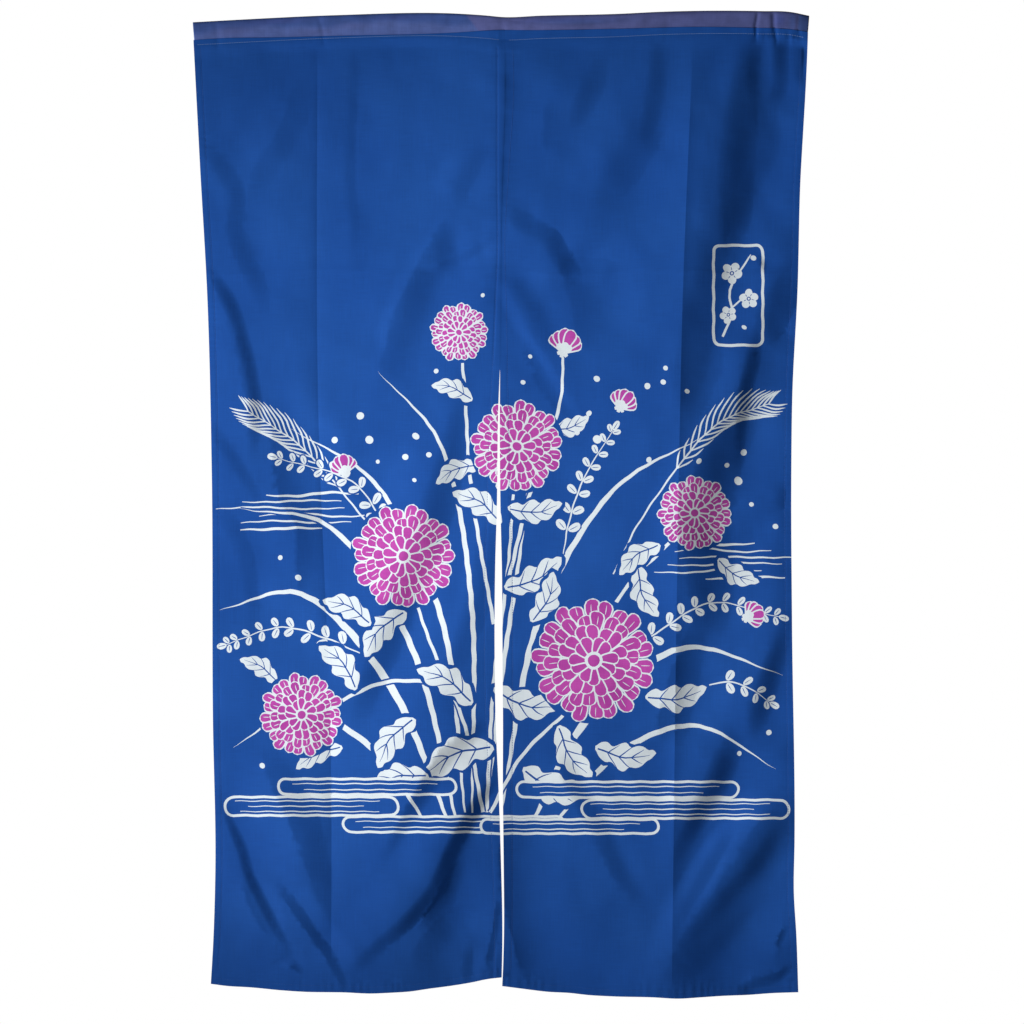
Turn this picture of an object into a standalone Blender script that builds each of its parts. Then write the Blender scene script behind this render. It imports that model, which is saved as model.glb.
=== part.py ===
"""Noren: a split door curtain of blue cloth that hangs from a rod pocket along its top edge.

Metres, +Z up. The printed face looks along -Y. The origin is the middle of the top edge, on
the line where a rod carries the curtain. Two cloths hang side by side from the pocket: they
are sewn edge to edge above the slit and hang free of each other below it.

The tables below are in centimetres, as a maker would write them: `across` is measured to the
right from the origin and `drop` downwards from it.
"""

from collections import namedtuple

import bmesh
import bpy
import numpy as np

CM = 0.01

# Driving sizes, in metres.
CLOTH_THICKNESS = 0.0012
SEWN_GAP = 0.0005
POCKET_GAP = 0.0008
POCKET_HEIGHT = 0.032
POCKET_HOLLOW_HEIGHT = 0.026
POCKET_HOLLOW_DEPTH = 0.010
POCKET_SEAM_THICKNESS = 0.0028

# How finely the solids are divided.
CELLS_INSIDE_CREASE = 15
CELLS_OUTSIDE_CREASE = 10
CELLS_DOWN = 72
POCKET_STATIONS = 25
POCKET_SIDES = 16
ROUTE_STEPS = 16
FINEST_FOLD = 2.0
FOLD_TIP = 0.55

# The top edge rises a little to the right and dips where the two cloths meet.
TopEdge = namedtuple("TopEdge", "across rise")
TOP_EDGE = [
    TopEdge(-42.6, -0.76),
    TopEdge(-36.0, -0.40),
    TopEdge(-23.0, 0.21),
    TopEdge(-5.7, 0.41),
    TopEdge(-2.2, 0.18),
    TopEdge(0.3, -0.05),
    TopEdge(5.4, 0.14),
    TopEdge(16.5, 0.41),
    TopEdge(22.0, 0.68),
    TopEdge(36.0, 0.78),
    TopEdge(40.0, 0.66),
    TopEdge(42.6, 0.14),
]

# Side edges, pressed creases and slit edges run downwards: where they lie at each drop.
Upright = namedtuple("Upright", "drop across")
LEFT_OUTER = [
    Upright(0.0, -42.7),
    Upright(21.0, -41.6),
    Upright(39.0, -40.6),
    Upright(63.0, -39.95),
    Upright(97.0, -39.65),
    Upright(118.0, -39.5),
    Upright(127.0, -39.75),
    Upright(135.0, -40.2),
]
RIGHT_OUTER = [
    Upright(0.0, 42.6),
    Upright(10.0, 41.95),
    Upright(22.0, 41.35),
    Upright(38.0, 41.0),
    Upright(52.0, 40.3),
    Upright(63.0, 40.15),
    Upright(84.0, 40.25),
    Upright(114.0, 40.6),
    Upright(121.0, 40.5),
    Upright(127.0, 40.85),
    Upright(136.0, 41.15),
]
LEFT_INNER = [
    Upright(0.0, 0.55),
    Upright(22.5, 0.40),
    Upright(36.4, 0.15),
    Upright(47.5, -0.12),
    Upright(54.4, -0.38),
    Upright(68.2, -0.58),
    Upright(76.0, -0.80),
    Upright(90.0, -0.86),
    Upright(98.0, -0.72),
    Upright(106.0, -0.36),
    Upright(116.0, -0.02),
    Upright(127.0, 0.20),
    Upright(135.0, 0.05),
]
RIGHT_INNER = [
    Upright(0.0, 0.55),
    Upright(22.5, 0.40),
    Upright(36.4, 0.15),
    Upright(47.5, -0.12),
    Upright(54.4, -0.16),
    Upright(68.2, -0.07),
    Upright(76.0, 0.11),
    Upright(90.0, 0.22),
    Upright(98.0, 0.27),
    Upright(106.0, 0.25),
    Upright(116.0, 0.35),
    Upright(127.0, 0.38),
    Upright(136.0, 0.15),
]
LEFT_CREASE = [
    Upright(0.0, -25.4),
    Upright(53.0, -25.3),
    Upright(104.0, -23.5),
    Upright(135.0, -23.5),
]
RIGHT_CREASE = [
    Upright(0.0, 26.7),
    Upright(40.0, 25.1),
    Upright(75.0, 24.4),
    Upright(136.0, 23.6),
]

# The bottom hems are not level: each cloth hangs lowest near its own middle.
HemLine = namedtuple("HemLine", "across drop")
LEFT_HEM = [
    HemLine(-40.2, 133.8),
    HemLine(-30.0, 134.7),
    HemLine(-17.7, 135.05),
    HemLine(-12.3, 134.7),
    HemLine(-3.9, 133.3),
    HemLine(0.3, 132.8),
]
RIGHT_HEM = [
    HemLine(0.0, 134.0),
    HemLine(6.6, 134.9),
    HemLine(12.7, 135.4),
    HemLine(24.1, 135.8),
    HemLine(31.5, 135.35),
    HemLine(41.2, 134.9),
]

# Folds. Each follows a smooth curve through a few places, given as (across, drop). The cloth
# comes forward by `crest` over the width `lit`, falls to `trough` behind its plane over the
# width `shade`, and settles back over `settle`, counted from left to right of a fold that runs
# downwards. `fade_in` and `fade_out` are the shares of its length over which it grows and dies.
Fold = namedtuple("Fold", "places crest trough lit shade settle fade_in fade_out")
FOLDS = {
    "left shoulder": Fold(
        [(-42.0, 15.0), (-38.2, 21.2), (-35.9, 25.5), (-35.6, 32.0), (-31.5, 45.5)],
        0.15, 0.42, 6.0, 2.2, 6.0, 0.35, 0.5,
    ),
    "left side": Fold(
        [(-41.5, 31.5), (-37.1, 39.6), (-34.2, 48.5), (-34.2, 56.0), (-34.9, 64.5)],
        0.30, 0.55, 6.0, 1.9, 6.0, 0.35, 0.5,
    ),
    "left side, lower": Fold(
        [(-33.0, 50.0), (-29.9, 61.0), (-27.0, 69.0), (-27.2, 77.0), (-28.0, 86.0)],
        0.25, 0.50, 7.0, 3.6, 7.0, 0.4, 0.5,
    ),
    "left seam drag": Fold(
        [(-0.2, 32.2), (-4.7, 33.6), (-9.8, 35.0), (-13.3, 42.5), (-17.0, 57.0)],
        0.22, 0.42, 4.0, 2.8, 7.0, 0.25, 0.6,
    ),
    "left slit drag": Fold(
        [(-5.0, 46.0), (-7.6, 60.0), (-9.2, 72.0), (-16.2, 84.0), (-20.5, 100.0)],
        0.40, 0.70, 8.0, 5.4, 9.0, 0.4, 0.5,
    ),
    "left wedge": Fold(
        [(-38.6, 80.0), (-35.0, 96.0), (-29.6, 110.6), (-22.5, 128.0)],
        0.75, 0.00, 9.0, 4.2, 3.0, 0.4, 0.4,
    ),
    "left corner": Fold(
        [(-39.6, 106.5), (-36.4, 113.2), (-34.3, 119.8), (-30.2, 127.0), (-26.0, 133.5)],
        0.28, 0.45, 3.0, 1.5, 3.5, 0.4, 0.5,
    ),
    "left tuck": Fold(
        [(-32.0, 117.5), (-27.4, 124.5), (-24.1, 128.6), (-20.5, 137.0)],
        0.30, 0.45, 2.4, 1.6, 2.6, 0.4, 0.4,
    ),
    "left deep fold": Fold(
        [(0.6, 103.5), (-3.9, 110.6), (-8.6, 120.4), (-14.9, 127.2), (-22.5, 137.5)],
        1.60, 0.70, 11.0, 3.0, 7.0, 0.3, 0.5,
    ),
    "above deep fold": Fold(
        [(-1.5, 96.5), (-7.2, 101.4), (-12.2, 109.7), (-17.0, 119.5)],
        0.28, 0.45, 4.0, 2.2, 4.0, 0.4, 0.5,
    ),
    "right top fold": Fold(
        [(36.2, -3.0), (34.4, 8.0), (32.2, 17.4), (32.4, 24.0), (30.0, 37.0)],
        0.35, 1.00, 5.0, 4.0, 5.0, 0.4, 0.5,
    ),
    "right shoulder": Fold(
        [(21.0, -2.0), (20.9, 12.0), (18.0, 19.5), (12.0, 32.0)],
        0.25, 0.40, 5.0, 3.0, 5.0, 0.4, 0.5,
    ),
    "right seam drag": Fold(
        [(0.4, 26.6), (4.5, 28.2), (8.4, 29.8), (10.2, 34.5), (10.6, 42.0)],
        0.30, 0.35, 4.0, 1.8, 4.0, 0.2, 0.5,
    ),
    "right seam drag, lower": Fold(
        [(1.0, 34.5), (5.4, 41.5), (9.8, 47.5), (15.0, 58.0)],
        0.30, 0.30, 3.0, 2.4, 4.0, 0.3, 0.5,
    ),
    "right hollow": Fold(
        [(30.4, 10.0), (28.0, 30.0), (27.0, 44.0), (25.2, 60.0)],
        0.00, 1.30, 1.0, 5.4, 4.0, 0.5, 0.4,
    ),
    "right middle fold": Fold(
        [(36.2, 41.0), (35.0, 47.5), (33.9, 54.0), (32.6, 67.5)],
        0.45, 0.60, 4.0, 2.0, 3.5, 0.25, 0.5,
    ),
    "right middle, lower": Fold(
        [(33.8, 48.0), (31.0, 56.5), (29.2, 66.0), (26.4, 82.0)],
        0.40, 1.00, 3.0, 4.4, 4.0, 0.4, 0.4,
    ),
    "right side fold": Fold(
        [(39.8, 80.0), (37.4, 90.0), (34.2, 101.5)],
        0.35, 0.50, 3.0, 2.2, 3.0, 0.4, 0.5,
    ),
    "right long fold": Fold(
        [(35.2, 98.0), (28.5, 108.0), (25.2, 116.5), (23.6, 127.0)],
        0.55, 1.00, 5.0, 3.2, 3.5, 0.3, 0.5,
    ),
    "right ridge": Fold(
        [(41.6, 107.5), (36.8, 114.6), (30.6, 122.8), (24.8, 130.0), (21.0, 139.5)],
        1.90, 0.15, 6.0, 4.4, 9.0, 0.35, 0.5,
    ),
    "right edge tuck": Fold(
        [(41.4, 31.0), (39.3, 39.1), (35.4, 47.0)],
        0.20, 0.40, 3.0, 2.6, 3.0, 0.4, 0.5,
    ),
    "right soft fold": Fold(
        [(4.6, 94.0), (9.1, 105.1), (14.4, 113.6), (19.6, 126.0)],
        0.10, 0.45, 4.0, 3.0, 4.0, 0.4, 0.5,
    ),
    "beside slit": Fold(
        [(0.6, 108.0), (1.3, 121.0), (2.8, 128.5), (5.2, 138.5)],
        0.15, 0.40, 1.2, 1.6, 3.0, 0.4, 0.4,
    ),
}

# The cloth gives unevenly, so its folds stray a little from those curves.
STRAY = 0.35
STRAY_WAVES = (26.0, 40.0, 23.0, 50.0)

# Creases from storage: a sharp ridge (height forward) or valley (height backward) that dies
# away over `left` and `right`, present from the drop `top` to the drop `bottom`.
Crease = namedtuple("Crease", "line height left right top bottom")
CREASES = {
    "left crease": Crease(LEFT_CREASE, -0.50, 4.0, 7.0, 94.0, 131.0),
    "right crease": Crease(RIGHT_CREASE, 0.45, 5.0, 2.6, 1.0, 140.0),
}

# Broad swells of the hanging cloth: a hump of the given height about one place.
Swell = namedtuple("Swell", "across drop wide tall height")
SWELLS = {
    "left middle": Swell(-22.0, 66.0, 13.0, 34.0, 0.9),
    "left foot": Swell(-18.0, 132.0, 12.0, 14.0, 0.8),
    "left edge": Swell(-40.0, 96.0, 6.0, 26.0, -0.5),
    "right middle": Swell(15.0, 62.0, 12.0, 34.0, 0.8),
    "right foot": Swell(18.0, 134.0, 13.0, 20.0, 0.7),
    "right edge": Swell(40.0, 60.0, 6.0, 30.0, -0.4),
}
PINNED_DROP = 3.2
FREE_DROP = 5.2

BLUE = (0.022, 0.080, 0.330)
VIOLET_GREY = (0.062, 0.085, 0.215)

Panel = namedtuple("Panel", "outer inner crease hem seam_side")
PANELS = {
    "left_panel": Panel(LEFT_OUTER, LEFT_INNER, LEFT_CREASE, LEFT_HEM, -1),
    "right_panel": Panel(RIGHT_OUTER, RIGHT_INNER, RIGHT_CREASE, RIGHT_HEM, 1),
}


def smooth_line(rows, places):
    """The smooth line through a table's rows, read at the given places."""
    knots, values = np.array(rows, dtype=float).T
    slopes = np.gradient(values, knots)
    first = np.clip(np.searchsorted(knots, places) - 1, 0, len(knots) - 2)
    span = knots[first + 1] - knots[first]
    t = np.clip((places - knots[first]) / span, 0.0, 1.0)
    back = 1.0 - t
    return (
        (1 + 2 * t) * back**2 * values[first]
        + t * back**2 * span * slopes[first]
        + (3 - 2 * t) * t**2 * values[first + 1]
        - t**2 * back * span * slopes[first + 1]
    )


def ease(low, high, value):
    """0 below low, 1 above high, and a smooth climb between them."""
    t = np.clip((value - low) / (high - low), 0.0, 1.0)
    return t * t * (3 - 2 * t)


def route_of(fold):
    """Points on the smooth curve that leads through a fold's places."""
    knots = range(len(fold.places))
    stations = np.linspace(0, knots[-1], ROUTE_STEPS + 1)
    along = [smooth_line(list(zip(knots, values)), stations) for values in zip(*fold.places)]
    return np.column_stack(along)


def beside_route(route, across, drop):
    """Distance from a route, positive on the right of one that runs down, and the share of it passed."""
    nearest = np.full(across.shape, np.inf)
    side = np.zeros(across.shape)
    passed = np.zeros(across.shape)
    for step, (here, there) in enumerate(zip(route, route[1:])):
        run = there - here
        share = ((across - here[0]) * run[0] + (drop - here[1]) * run[1]) / (run @ run)
        share = np.clip(share, 0.0, 1.0)
        off_across = across - here[0] - share * run[0]
        off_drop = drop - here[1] - share * run[1]
        gap = np.hypot(off_across, off_drop)
        closer = gap < nearest
        nearest = np.where(closer, gap, nearest)
        side = np.where(closer, np.sign(off_across * run[1] - off_drop * run[0]), side)
        passed = np.where(closer, (step + share) / ROUTE_STEPS, passed)
    return nearest * side, passed


def fold_height(fold, across, drop):
    """How far one fold brings the cloth forward of its plane."""
    gap, passed = beside_route(route_of(fold), across, drop)
    strength = ease(0.0, fold.fade_in, passed) * ease(0.0, fold.fade_out, 1 - passed)
    taper = FOLD_TIP + (1 - FOLD_TIP) * strength
    half = max(fold.shade, FINEST_FOLD) / 2 * taper
    rise = ease(-half - fold.lit * taper, -half, gap)
    fall = ease(-half, half, gap)
    level = ease(half, half + fold.settle * taper, gap)
    height = fold.crest * rise * (1 - fall) - fold.trough * fall * (1 - level)
    return height * strength


def crease_height(crease, across, drop):
    gap = across - smooth_line(crease.line, drop)
    width = np.where(gap < 0, crease.left, crease.right)
    fade = 0.12 * (crease.bottom - crease.top)
    present = ease(crease.top, crease.top + fade, drop) * ease(0.0, fade, crease.bottom - drop)
    return crease.height * np.exp(-np.abs(gap) / width) * present


def swell_height(swell, across, drop):
    off = ((across - swell.across) / swell.wide) ** 2 + ((drop - swell.drop) / swell.tall) ** 2
    return swell.height * np.exp(-off)


def cloth_forward(across, drop):
    """How far the hanging cloth stands forward of the pocket's plane, in centimetres."""
    turn_a, turn_b, turn_c, turn_d = (2 * np.pi / wave for wave in STRAY_WAVES)
    strayed = (
        across + STRAY * np.sin(turn_a * drop + turn_b * across),
        drop + STRAY * np.sin(turn_c * across - turn_d * drop),
    )
    height = sum(fold_height(fold, *strayed) for fold in FOLDS.values())
    height = height + sum(crease_height(crease, across, drop) for crease in CREASES.values())
    height = height + sum(swell_height(swell, across, drop) for swell in SWELLS.values())
    return height * ease(PINNED_DROP, FREE_DROP, drop)


def cloth_material(name, colour, roughness):
    material = bpy.data.materials.new(name)
    material.use_nodes = True
    shader = material.node_tree.nodes["Principled BSDF"]
    shader.inputs["Base Color"].default_value = (*colour, 1.0)
    shader.inputs["Roughness"].default_value = roughness
    shader.inputs["Metallic"].default_value = 0.0
    return material


def add_object(name, mesh, material):
    mesh.materials.append(material)
    thing = bpy.data.objects.new(name, mesh)
    bpy.context.scene.collection.objects.link(thing)
    return thing


def panel_grid(panel):
    """Across and drop of each grid point, in rows from the pocket down to the hem."""
    down = np.linspace(0.0, 1.0, CELLS_DOWN + 1)
    from_seam = np.linspace(0.0, 1.0, CELLS_INSIDE_CREASE + 1)
    to_edge = np.linspace(0.0, 1.0, CELLS_OUTSIDE_CREASE + 1)[1:]
    deepest = max(row.drop for row in panel.hem)
    level = down[:, None] * deepest
    seam = smooth_line(panel.inner, level) + panel.seam_side * SEWN_GAP / CM / 2
    crease = smooth_line(panel.crease, level)
    edge = smooth_line(panel.outer, level)
    across = np.hstack([seam + (crease - seam) * from_seam, crease + (edge - crease) * to_edge])
    top = (POCKET_HEIGHT + POCKET_GAP) / CM - smooth_line(TOP_EDGE, across)
    bottom = smooth_line(panel.hem, across)
    return across, top + (bottom - top) * down[:, None]


def add_panel(name, panel, material):
    """One cloth: a grid laid on its outline and folds, then given the cloth's thickness."""
    across, drop = panel_grid(panel)
    forward = cloth_forward(across, drop)
    shape = bmesh.new()
    points = [
        [shape.verts.new((x * CM, -y * CM, -z * CM)) for x, y, z in zip(*row)]
        for row in zip(across, forward, drop)
    ]
    for upper, lower in zip(points, points[1:]):
        for k in range(len(upper) - 1):
            shape.faces.new((upper[k], lower[k], lower[k + 1], upper[k + 1]))
    bmesh.ops.recalc_face_normals(shape, faces=shape.faces)
    mesh = bpy.data.meshes.new(name)
    shape.to_mesh(mesh)
    shape.free()
    mesh.shade_smooth()
    cloth = add_object(name, mesh, material)
    thicken = cloth.modifiers.new("cloth thickness", "SOLIDIFY")
    thicken.thickness = CLOTH_THICKNESS
    thicken.offset = 0.0
    return cloth


def pocket_loop(height, depth, seam=None):
    """One turn of the pocket's wall in depth and height. With a seam it runs down to the sewn edge."""
    turn = -np.pi / 2 + (np.arange(POCKET_SIDES) + 0.5) * 2 * np.pi / POCKET_SIDES
    squareness = 2 / 2.6
    y = depth / 2 * np.sign(np.cos(turn)) * np.abs(np.cos(turn)) ** squareness
    z = height / 2 * np.sign(np.sin(turn)) * np.abs(np.sin(turn)) ** squareness - height / 2
    if seam:
        y[[0, -1]] = seam / 2, -seam / 2
        z[[0, -1]] = -POCKET_HEIGHT
    return y, z


def add_heading(material):
    """The rod pocket: a flattened tube of cloth, open at both ends, sewn shut along its foot."""
    wall = CLOTH_THICKNESS
    outer = pocket_loop(
        POCKET_HOLLOW_HEIGHT + 2 * wall, POCKET_HOLLOW_DEPTH + 2 * wall, POCKET_SEAM_THICKNESS
    )
    inner_y, inner_z = pocket_loop(POCKET_HOLLOW_HEIGHT, POCKET_HOLLOW_DEPTH)
    inner = inner_y, inner_z - wall
    stations = np.linspace(TOP_EDGE[0].across, TOP_EDGE[-1].across, POCKET_STATIONS)
    rises = smooth_line(TOP_EDGE, stations)
    shape = bmesh.new()

    def ring(loop, station, rise):
        return [shape.verts.new((station * CM, y, z + rise * CM)) for y, z in zip(*loop)]

    outside = [ring(outer, station, rise) for station, rise in zip(stations, rises)]
    inside = [ring(inner, station, rise) for station, rise in zip(stations, rises)]

    def join(first, second):
        for k in range(POCKET_SIDES):
            after = (k + 1) % POCKET_SIDES
            shape.faces.new((first[k], first[after], second[after], second[k]))

    for wall_rings in (outside, inside):
        for here, there in zip(wall_rings, wall_rings[1:]):
            join(here, there)
    for end in (0, -1):
        join(outside[end], inside[end])
    bmesh.ops.recalc_face_normals(shape, faces=shape.faces)
    mesh = bpy.data.meshes.new("heading")
    shape.to_mesh(mesh)
    shape.free()
    mesh.shade_smooth()
    mesh.set_sharp_from_angle(angle=np.radians(50))
    return add_object("heading", mesh, material)


for leftover in list(bpy.data.objects):
    bpy.data.objects.remove(leftover, do_unlink=True)

blue_cloth = cloth_material("blue_cloth", BLUE, 0.78)
heading_cloth = cloth_material("heading_cloth", VIOLET_GREY, 0.80)
add_heading(heading_cloth)
for panel_name, panel_rows in PANELS.items():
    add_panel(panel_name, panel_rows, blue_cloth)
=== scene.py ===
"""A noren: a split door curtain of printed blue cloth with a rod pocket along its top edge.

Metres, +Z up, the printed face towards -Y. The tables are in centimetres, as a maker would
write them: `across` is to the right of the middle of the top edge and `drop` is down from it.
"""

import math
from collections import namedtuple

import bpy
import numpy as np
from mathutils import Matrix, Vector
from mathutils.geometry import delaunay_2d_cdt
from mathutils.kdtree import KDTree


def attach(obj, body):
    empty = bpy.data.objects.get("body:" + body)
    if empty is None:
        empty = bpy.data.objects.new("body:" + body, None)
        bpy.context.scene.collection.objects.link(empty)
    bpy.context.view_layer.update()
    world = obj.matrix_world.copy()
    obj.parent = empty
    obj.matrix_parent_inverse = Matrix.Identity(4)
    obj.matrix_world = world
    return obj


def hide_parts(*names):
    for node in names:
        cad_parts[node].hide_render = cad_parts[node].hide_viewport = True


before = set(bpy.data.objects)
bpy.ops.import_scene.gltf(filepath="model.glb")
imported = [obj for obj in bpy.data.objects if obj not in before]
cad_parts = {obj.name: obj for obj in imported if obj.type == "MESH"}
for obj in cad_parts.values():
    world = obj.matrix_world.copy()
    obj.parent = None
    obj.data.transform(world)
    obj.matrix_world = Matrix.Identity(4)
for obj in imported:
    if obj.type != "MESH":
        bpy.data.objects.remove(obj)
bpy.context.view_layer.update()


# ------------------------------------------------------------------ the rod pocket
# A strip of duller violet-grey cotton, folded over into a flat tube that is open at both ends.
# Its raw edges lie behind the top of the blue cloths, and one line of stitches closes it. Its
# dye is blotchy, its colour is painted darker along the round top as shade, and it is pinched
# in a few places.
CM = 0.01

# The top edge, as (across, rise).
TOP_EDGE = [
    (-42.6, -0.76), (-36.0, -0.40), (-23.0, 0.21), (-5.7, 0.41), (-2.2, 0.18), (0.3, -0.05),
    (5.4, 0.14), (16.5, 0.41), (22.0, 0.68), (36.0, 0.78), (40.0, 0.66), (42.6, 0.14),
]
POCKET_DEPTH = 0.27
POCKET_BACK = 0.22
POCKET_ROUND = 0.5
POCKET_TAPER = 0.0018
POCKET_STITCH = 3.12
POCKET_TAIL = 3.42
POCKET_PINCHED = 0.07
POCKET_BAGGED = 0.06
POCKET_SLACK = 0.03
POCKET_WALL = 0.07
POCKET_STATIONS = 520
# Its cloth is loose between the round top and the stitches, in waves as (height, turn along,
# turn down).
LOOSE_FROM = (0.1, 0.8)
LOOSE_TO = 2.2
POCKET_WAVES = ((0.055, 0.31, 0.9), (0.022, 1.6, 2.0))

Groove = namedtuple("Groove", "across width depth lean")
POCKET_GROOVES = (
    Groove(-39.3, 0.50, 0.05, 0.1),
    Groove(-24.9, 0.35, 0.05, 0.2),
    Groove(0.2, 0.45, 0.04, 0.0),
    Groove(35.4, 0.26, 0.12, -0.1),
    Groove(37.8, 0.34, 0.14, 0.1),
    Groove(41.2, 0.30, 0.08, 0.0),
)
# A pressed line that wanders along the right half, as (across, below the top edge).
PRESSED_LINE = [
    (0.6, 0.35), (5.7, 1.00), (9.7, 1.12), (12.7, 1.02), (15.6, 0.85), (17.4, 0.5), (20, 0.48),
]
PRESSED_DEPTH = 0.06
PRESSED_WIDTH = 0.2

# The strip's colours. The first is the darker blue painted along the round top as shade, where it
# faces away from the light, and is also a stain colour. The second is the lit colour below it. The
# rest are stains of the dye, and the colour it darkens to at its right end.
STRIP_TOP_SHADE_AND_STAIN = (0.066, 0.130, 0.420)
STRIP_LIT_BELOW = (0.115, 0.178, 0.500)
STRIP_GREY = (0.138, 0.162, 0.435)
STRIP_MAUVE = (0.116, 0.139, 0.375)
STRIP_PURPLE = (0.078, 0.110, 0.385)
STRIP_END = (0.045, 0.085, 0.260)
Stain = namedtuple("Stain", "across below wide tall share colour")
STRIP_STAINS = (
    Stain(-37.0, 1.6, 3.0, 0.8, 0.5, STRIP_MAUVE),
    Stain(-31.0, 0.5, 4.5, 0.4, 0.6, STRIP_PURPLE),
    Stain(-26.0, 2.2, 2.5, 0.4, 0.4, STRIP_MAUVE),
    Stain(-14.5, 0.6, 4.0, 0.3, 0.7, STRIP_PURPLE),
    Stain(-20.5, 1.5, 2.2, 0.5, 0.3, STRIP_GREY),
    Stain(8.0, 0.7, 6.0, 0.25, 0.7, STRIP_PURPLE),
    Stain(11.0, 1.0, 6.0, 0.35, 0.5, STRIP_TOP_SHADE_AND_STAIN),
    Stain(26.0, 0.9, 6.0, 0.6, 0.3, STRIP_GREY),
    Stain(38.6, 1.3, 0.9, 1.0, 0.8, STRIP_PURPLE),
    Stain(36.6, 1.3, 0.5, 1.2, 0.5, STRIP_GREY),
    Stain(40.4, 1.3, 0.5, 1.4, 0.6, STRIP_TOP_SHADE_AND_STAIN),
)


def smooth_line(rows, places):
    """The smooth line through a table's rows, read at the given places."""
    knots, values = np.array(rows, dtype=float).T
    slopes = np.gradient(values, knots)
    first = np.clip(np.searchsorted(knots, places) - 1, 0, len(knots) - 2)
    span = knots[first + 1] - knots[first]
    t = np.clip((places - knots[first]) / span, 0.0, 1.0)
    back = 1.0 - t
    return (
        (1 + 2 * t) * back**2 * values[first]
        + t * back**2 * span * slopes[first]
        + (3 - 2 * t) * t**2 * values[first + 1]
        - t**2 * back * span * slopes[first + 1]
    )


def ease(start, stop, value):
    """0 at start, 1 at stop, and a smooth climb between them."""
    t = np.clip((value - start) / (stop - start), 0.0, 1.0)
    return t * t * (3 - 2 * t)


def bell(value, width):
    return np.exp(-((value / width) ** 2))


def top_edge_drop(across):
    return -smooth_line(TOP_EDGE, across)


def pocket_forward(across, below):
    """How far the pocket's front stands forward: round at its top, pinched at its stitches."""
    down = np.clip(below / POCKET_ROUND, 0.0, 1.0)
    height = POCKET_DEPTH * np.sqrt(down * (2 - down))
    height = height - (POCKET_DEPTH - POCKET_PINCHED) * ease(POCKET_ROUND, POCKET_STITCH, below)
    loose = ease(*LOOSE_FROM, below) * ease(POCKET_STITCH, LOOSE_TO, below)
    waves = sum(size * np.sin(turn * across + lean * below) for size, turn, lean in POCKET_WAVES)
    pressed = ease(0.0, 2.0, across) * ease(21.0, 17.0, across) * PRESSED_DEPTH
    line = bell(below - smooth_line(PRESSED_LINE, across), PRESSED_WIDTH)
    height = height + loose * (waves - pressed * line)
    for groove in POCKET_GROOVES:
        off = across - groove.across - groove.lean * (below - 1.6)
        height = height - groove.depth * bell(off, groove.width) * ease(0.0, 0.6, below)
    return height


def strip_dye_and_shade(across, below):
    """The strip's colour: blue above, darkened as painted shade, paler below, greyer from the
    middle to the right.
    """

    def mixed(first, second, share):
        return first + (np.asarray(second) - first) * share[:, None]

    wander = 0.25 * np.sin(0.35 * across + 0.8) + 0.12 * np.sin(1.1 * across)
    # Painted shade: the upper band is darker blue because the round top faces away from the light.
    dye = mixed(np.array(STRIP_TOP_SHADE_AND_STAIN), STRIP_LIT_BELOW, ease(0.8, 1.9, below + wander))
    right = mixed(np.array(STRIP_GREY), STRIP_MAUVE, ease(3.0, 12.0, across))
    dye = mixed(dye, right, ease(-0.25, 0.25, across + 4.9 - 0.8 * below))
    for stain in STRIP_STAINS:
        near = bell(across - stain.across, stain.wide) * bell(below - stain.below, stain.tall)
        dye = mixed(dye, stain.colour, stain.share * near)
    return mixed(dye, STRIP_END, ease(41.0, 41.35, across))


def smooth_piece(name, points, faces):
    mesh = bpy.data.meshes.new(name)
    mesh.from_pydata(points, [], faces)
    mesh.shade_smooth()
    piece = bpy.data.objects.new(name, mesh)
    bpy.context.scene.collection.objects.link(piece)
    return piece


def add_pocket():
    rounding = np.linspace(0.0, np.pi / 2, 9)[1:]
    tail = np.linspace(POCKET_STITCH, POCKET_TAIL, 3)
    down = [POCKET_ROUND * (1 - np.cos(rounding)), np.arange(0.7, 3.1, 0.2), tail]
    down = np.concatenate(down)
    below = np.concatenate([down[::-1], [0.0], down])
    sides = len(below)
    stations = np.linspace(TOP_EDGE[0][0], TOP_EDGE[-1][0], POCKET_STATIONS)
    across, below = (grid.ravel() for grid in np.meshgrid(stations, below, indexing="ij"))
    faces_front = np.arange(len(below)) % sides < len(down)
    ahead = pocket_forward(across, below)
    slack = POCKET_SLACK * np.sin(0.23 * across + 1.4 * below) * ease(0.3, 1.0, below)
    behind = slack - ahead * POCKET_BACK / POCKET_DEPTH - POCKET_BAGGED * ease(2.0, 3.4, below)
    forward = np.where(faces_front, ahead, behind)
    drop = below + top_edge_drop(across)
    points = np.column_stack([across * (1 - POCKET_TAPER * below), -forward, -drop]) * CM
    starts = [s * sides + k for s in range(POCKET_STATIONS - 1) for k in range(sides - 1)]
    faces = [(n, n + 1, n + sides + 1, n + sides) for n in starts]
    pocket = smooth_piece("heading_cloth", points.tolist(), faces)
    # Each point keeps the strip's colour, with its painted shade along the top.
    dye = np.column_stack([strip_dye_and_shade(across, below), np.ones(len(points))])
    painted = pocket.data.attributes.new("strip_dye_and_shade", "FLOAT_COLOR", "POINT")
    painted.data.foreach_set("color", dye.astype(np.float32).ravel())
    bpy.ops.object.select_all(action="DESELECT")
    bpy.context.view_layer.objects.active = pocket
    pocket.select_set(True)
    wall = pocket.modifiers.new("wall", "SOLIDIFY")
    wall.thickness = POCKET_WALL * CM
    wall.offset = 0.0
    bpy.ops.object.modifier_apply(modifier=wall.name)
    return pocket


def feed(tree, made, inputs):
    """Gives each named socket of a node its value, or the output that feeds it."""
    for socket, value in inputs.items():
        if isinstance(value, bpy.types.NodeSocket):
            tree.links.new(value, made.inputs[socket])
        else:
            made.inputs[socket].default_value = value


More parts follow.
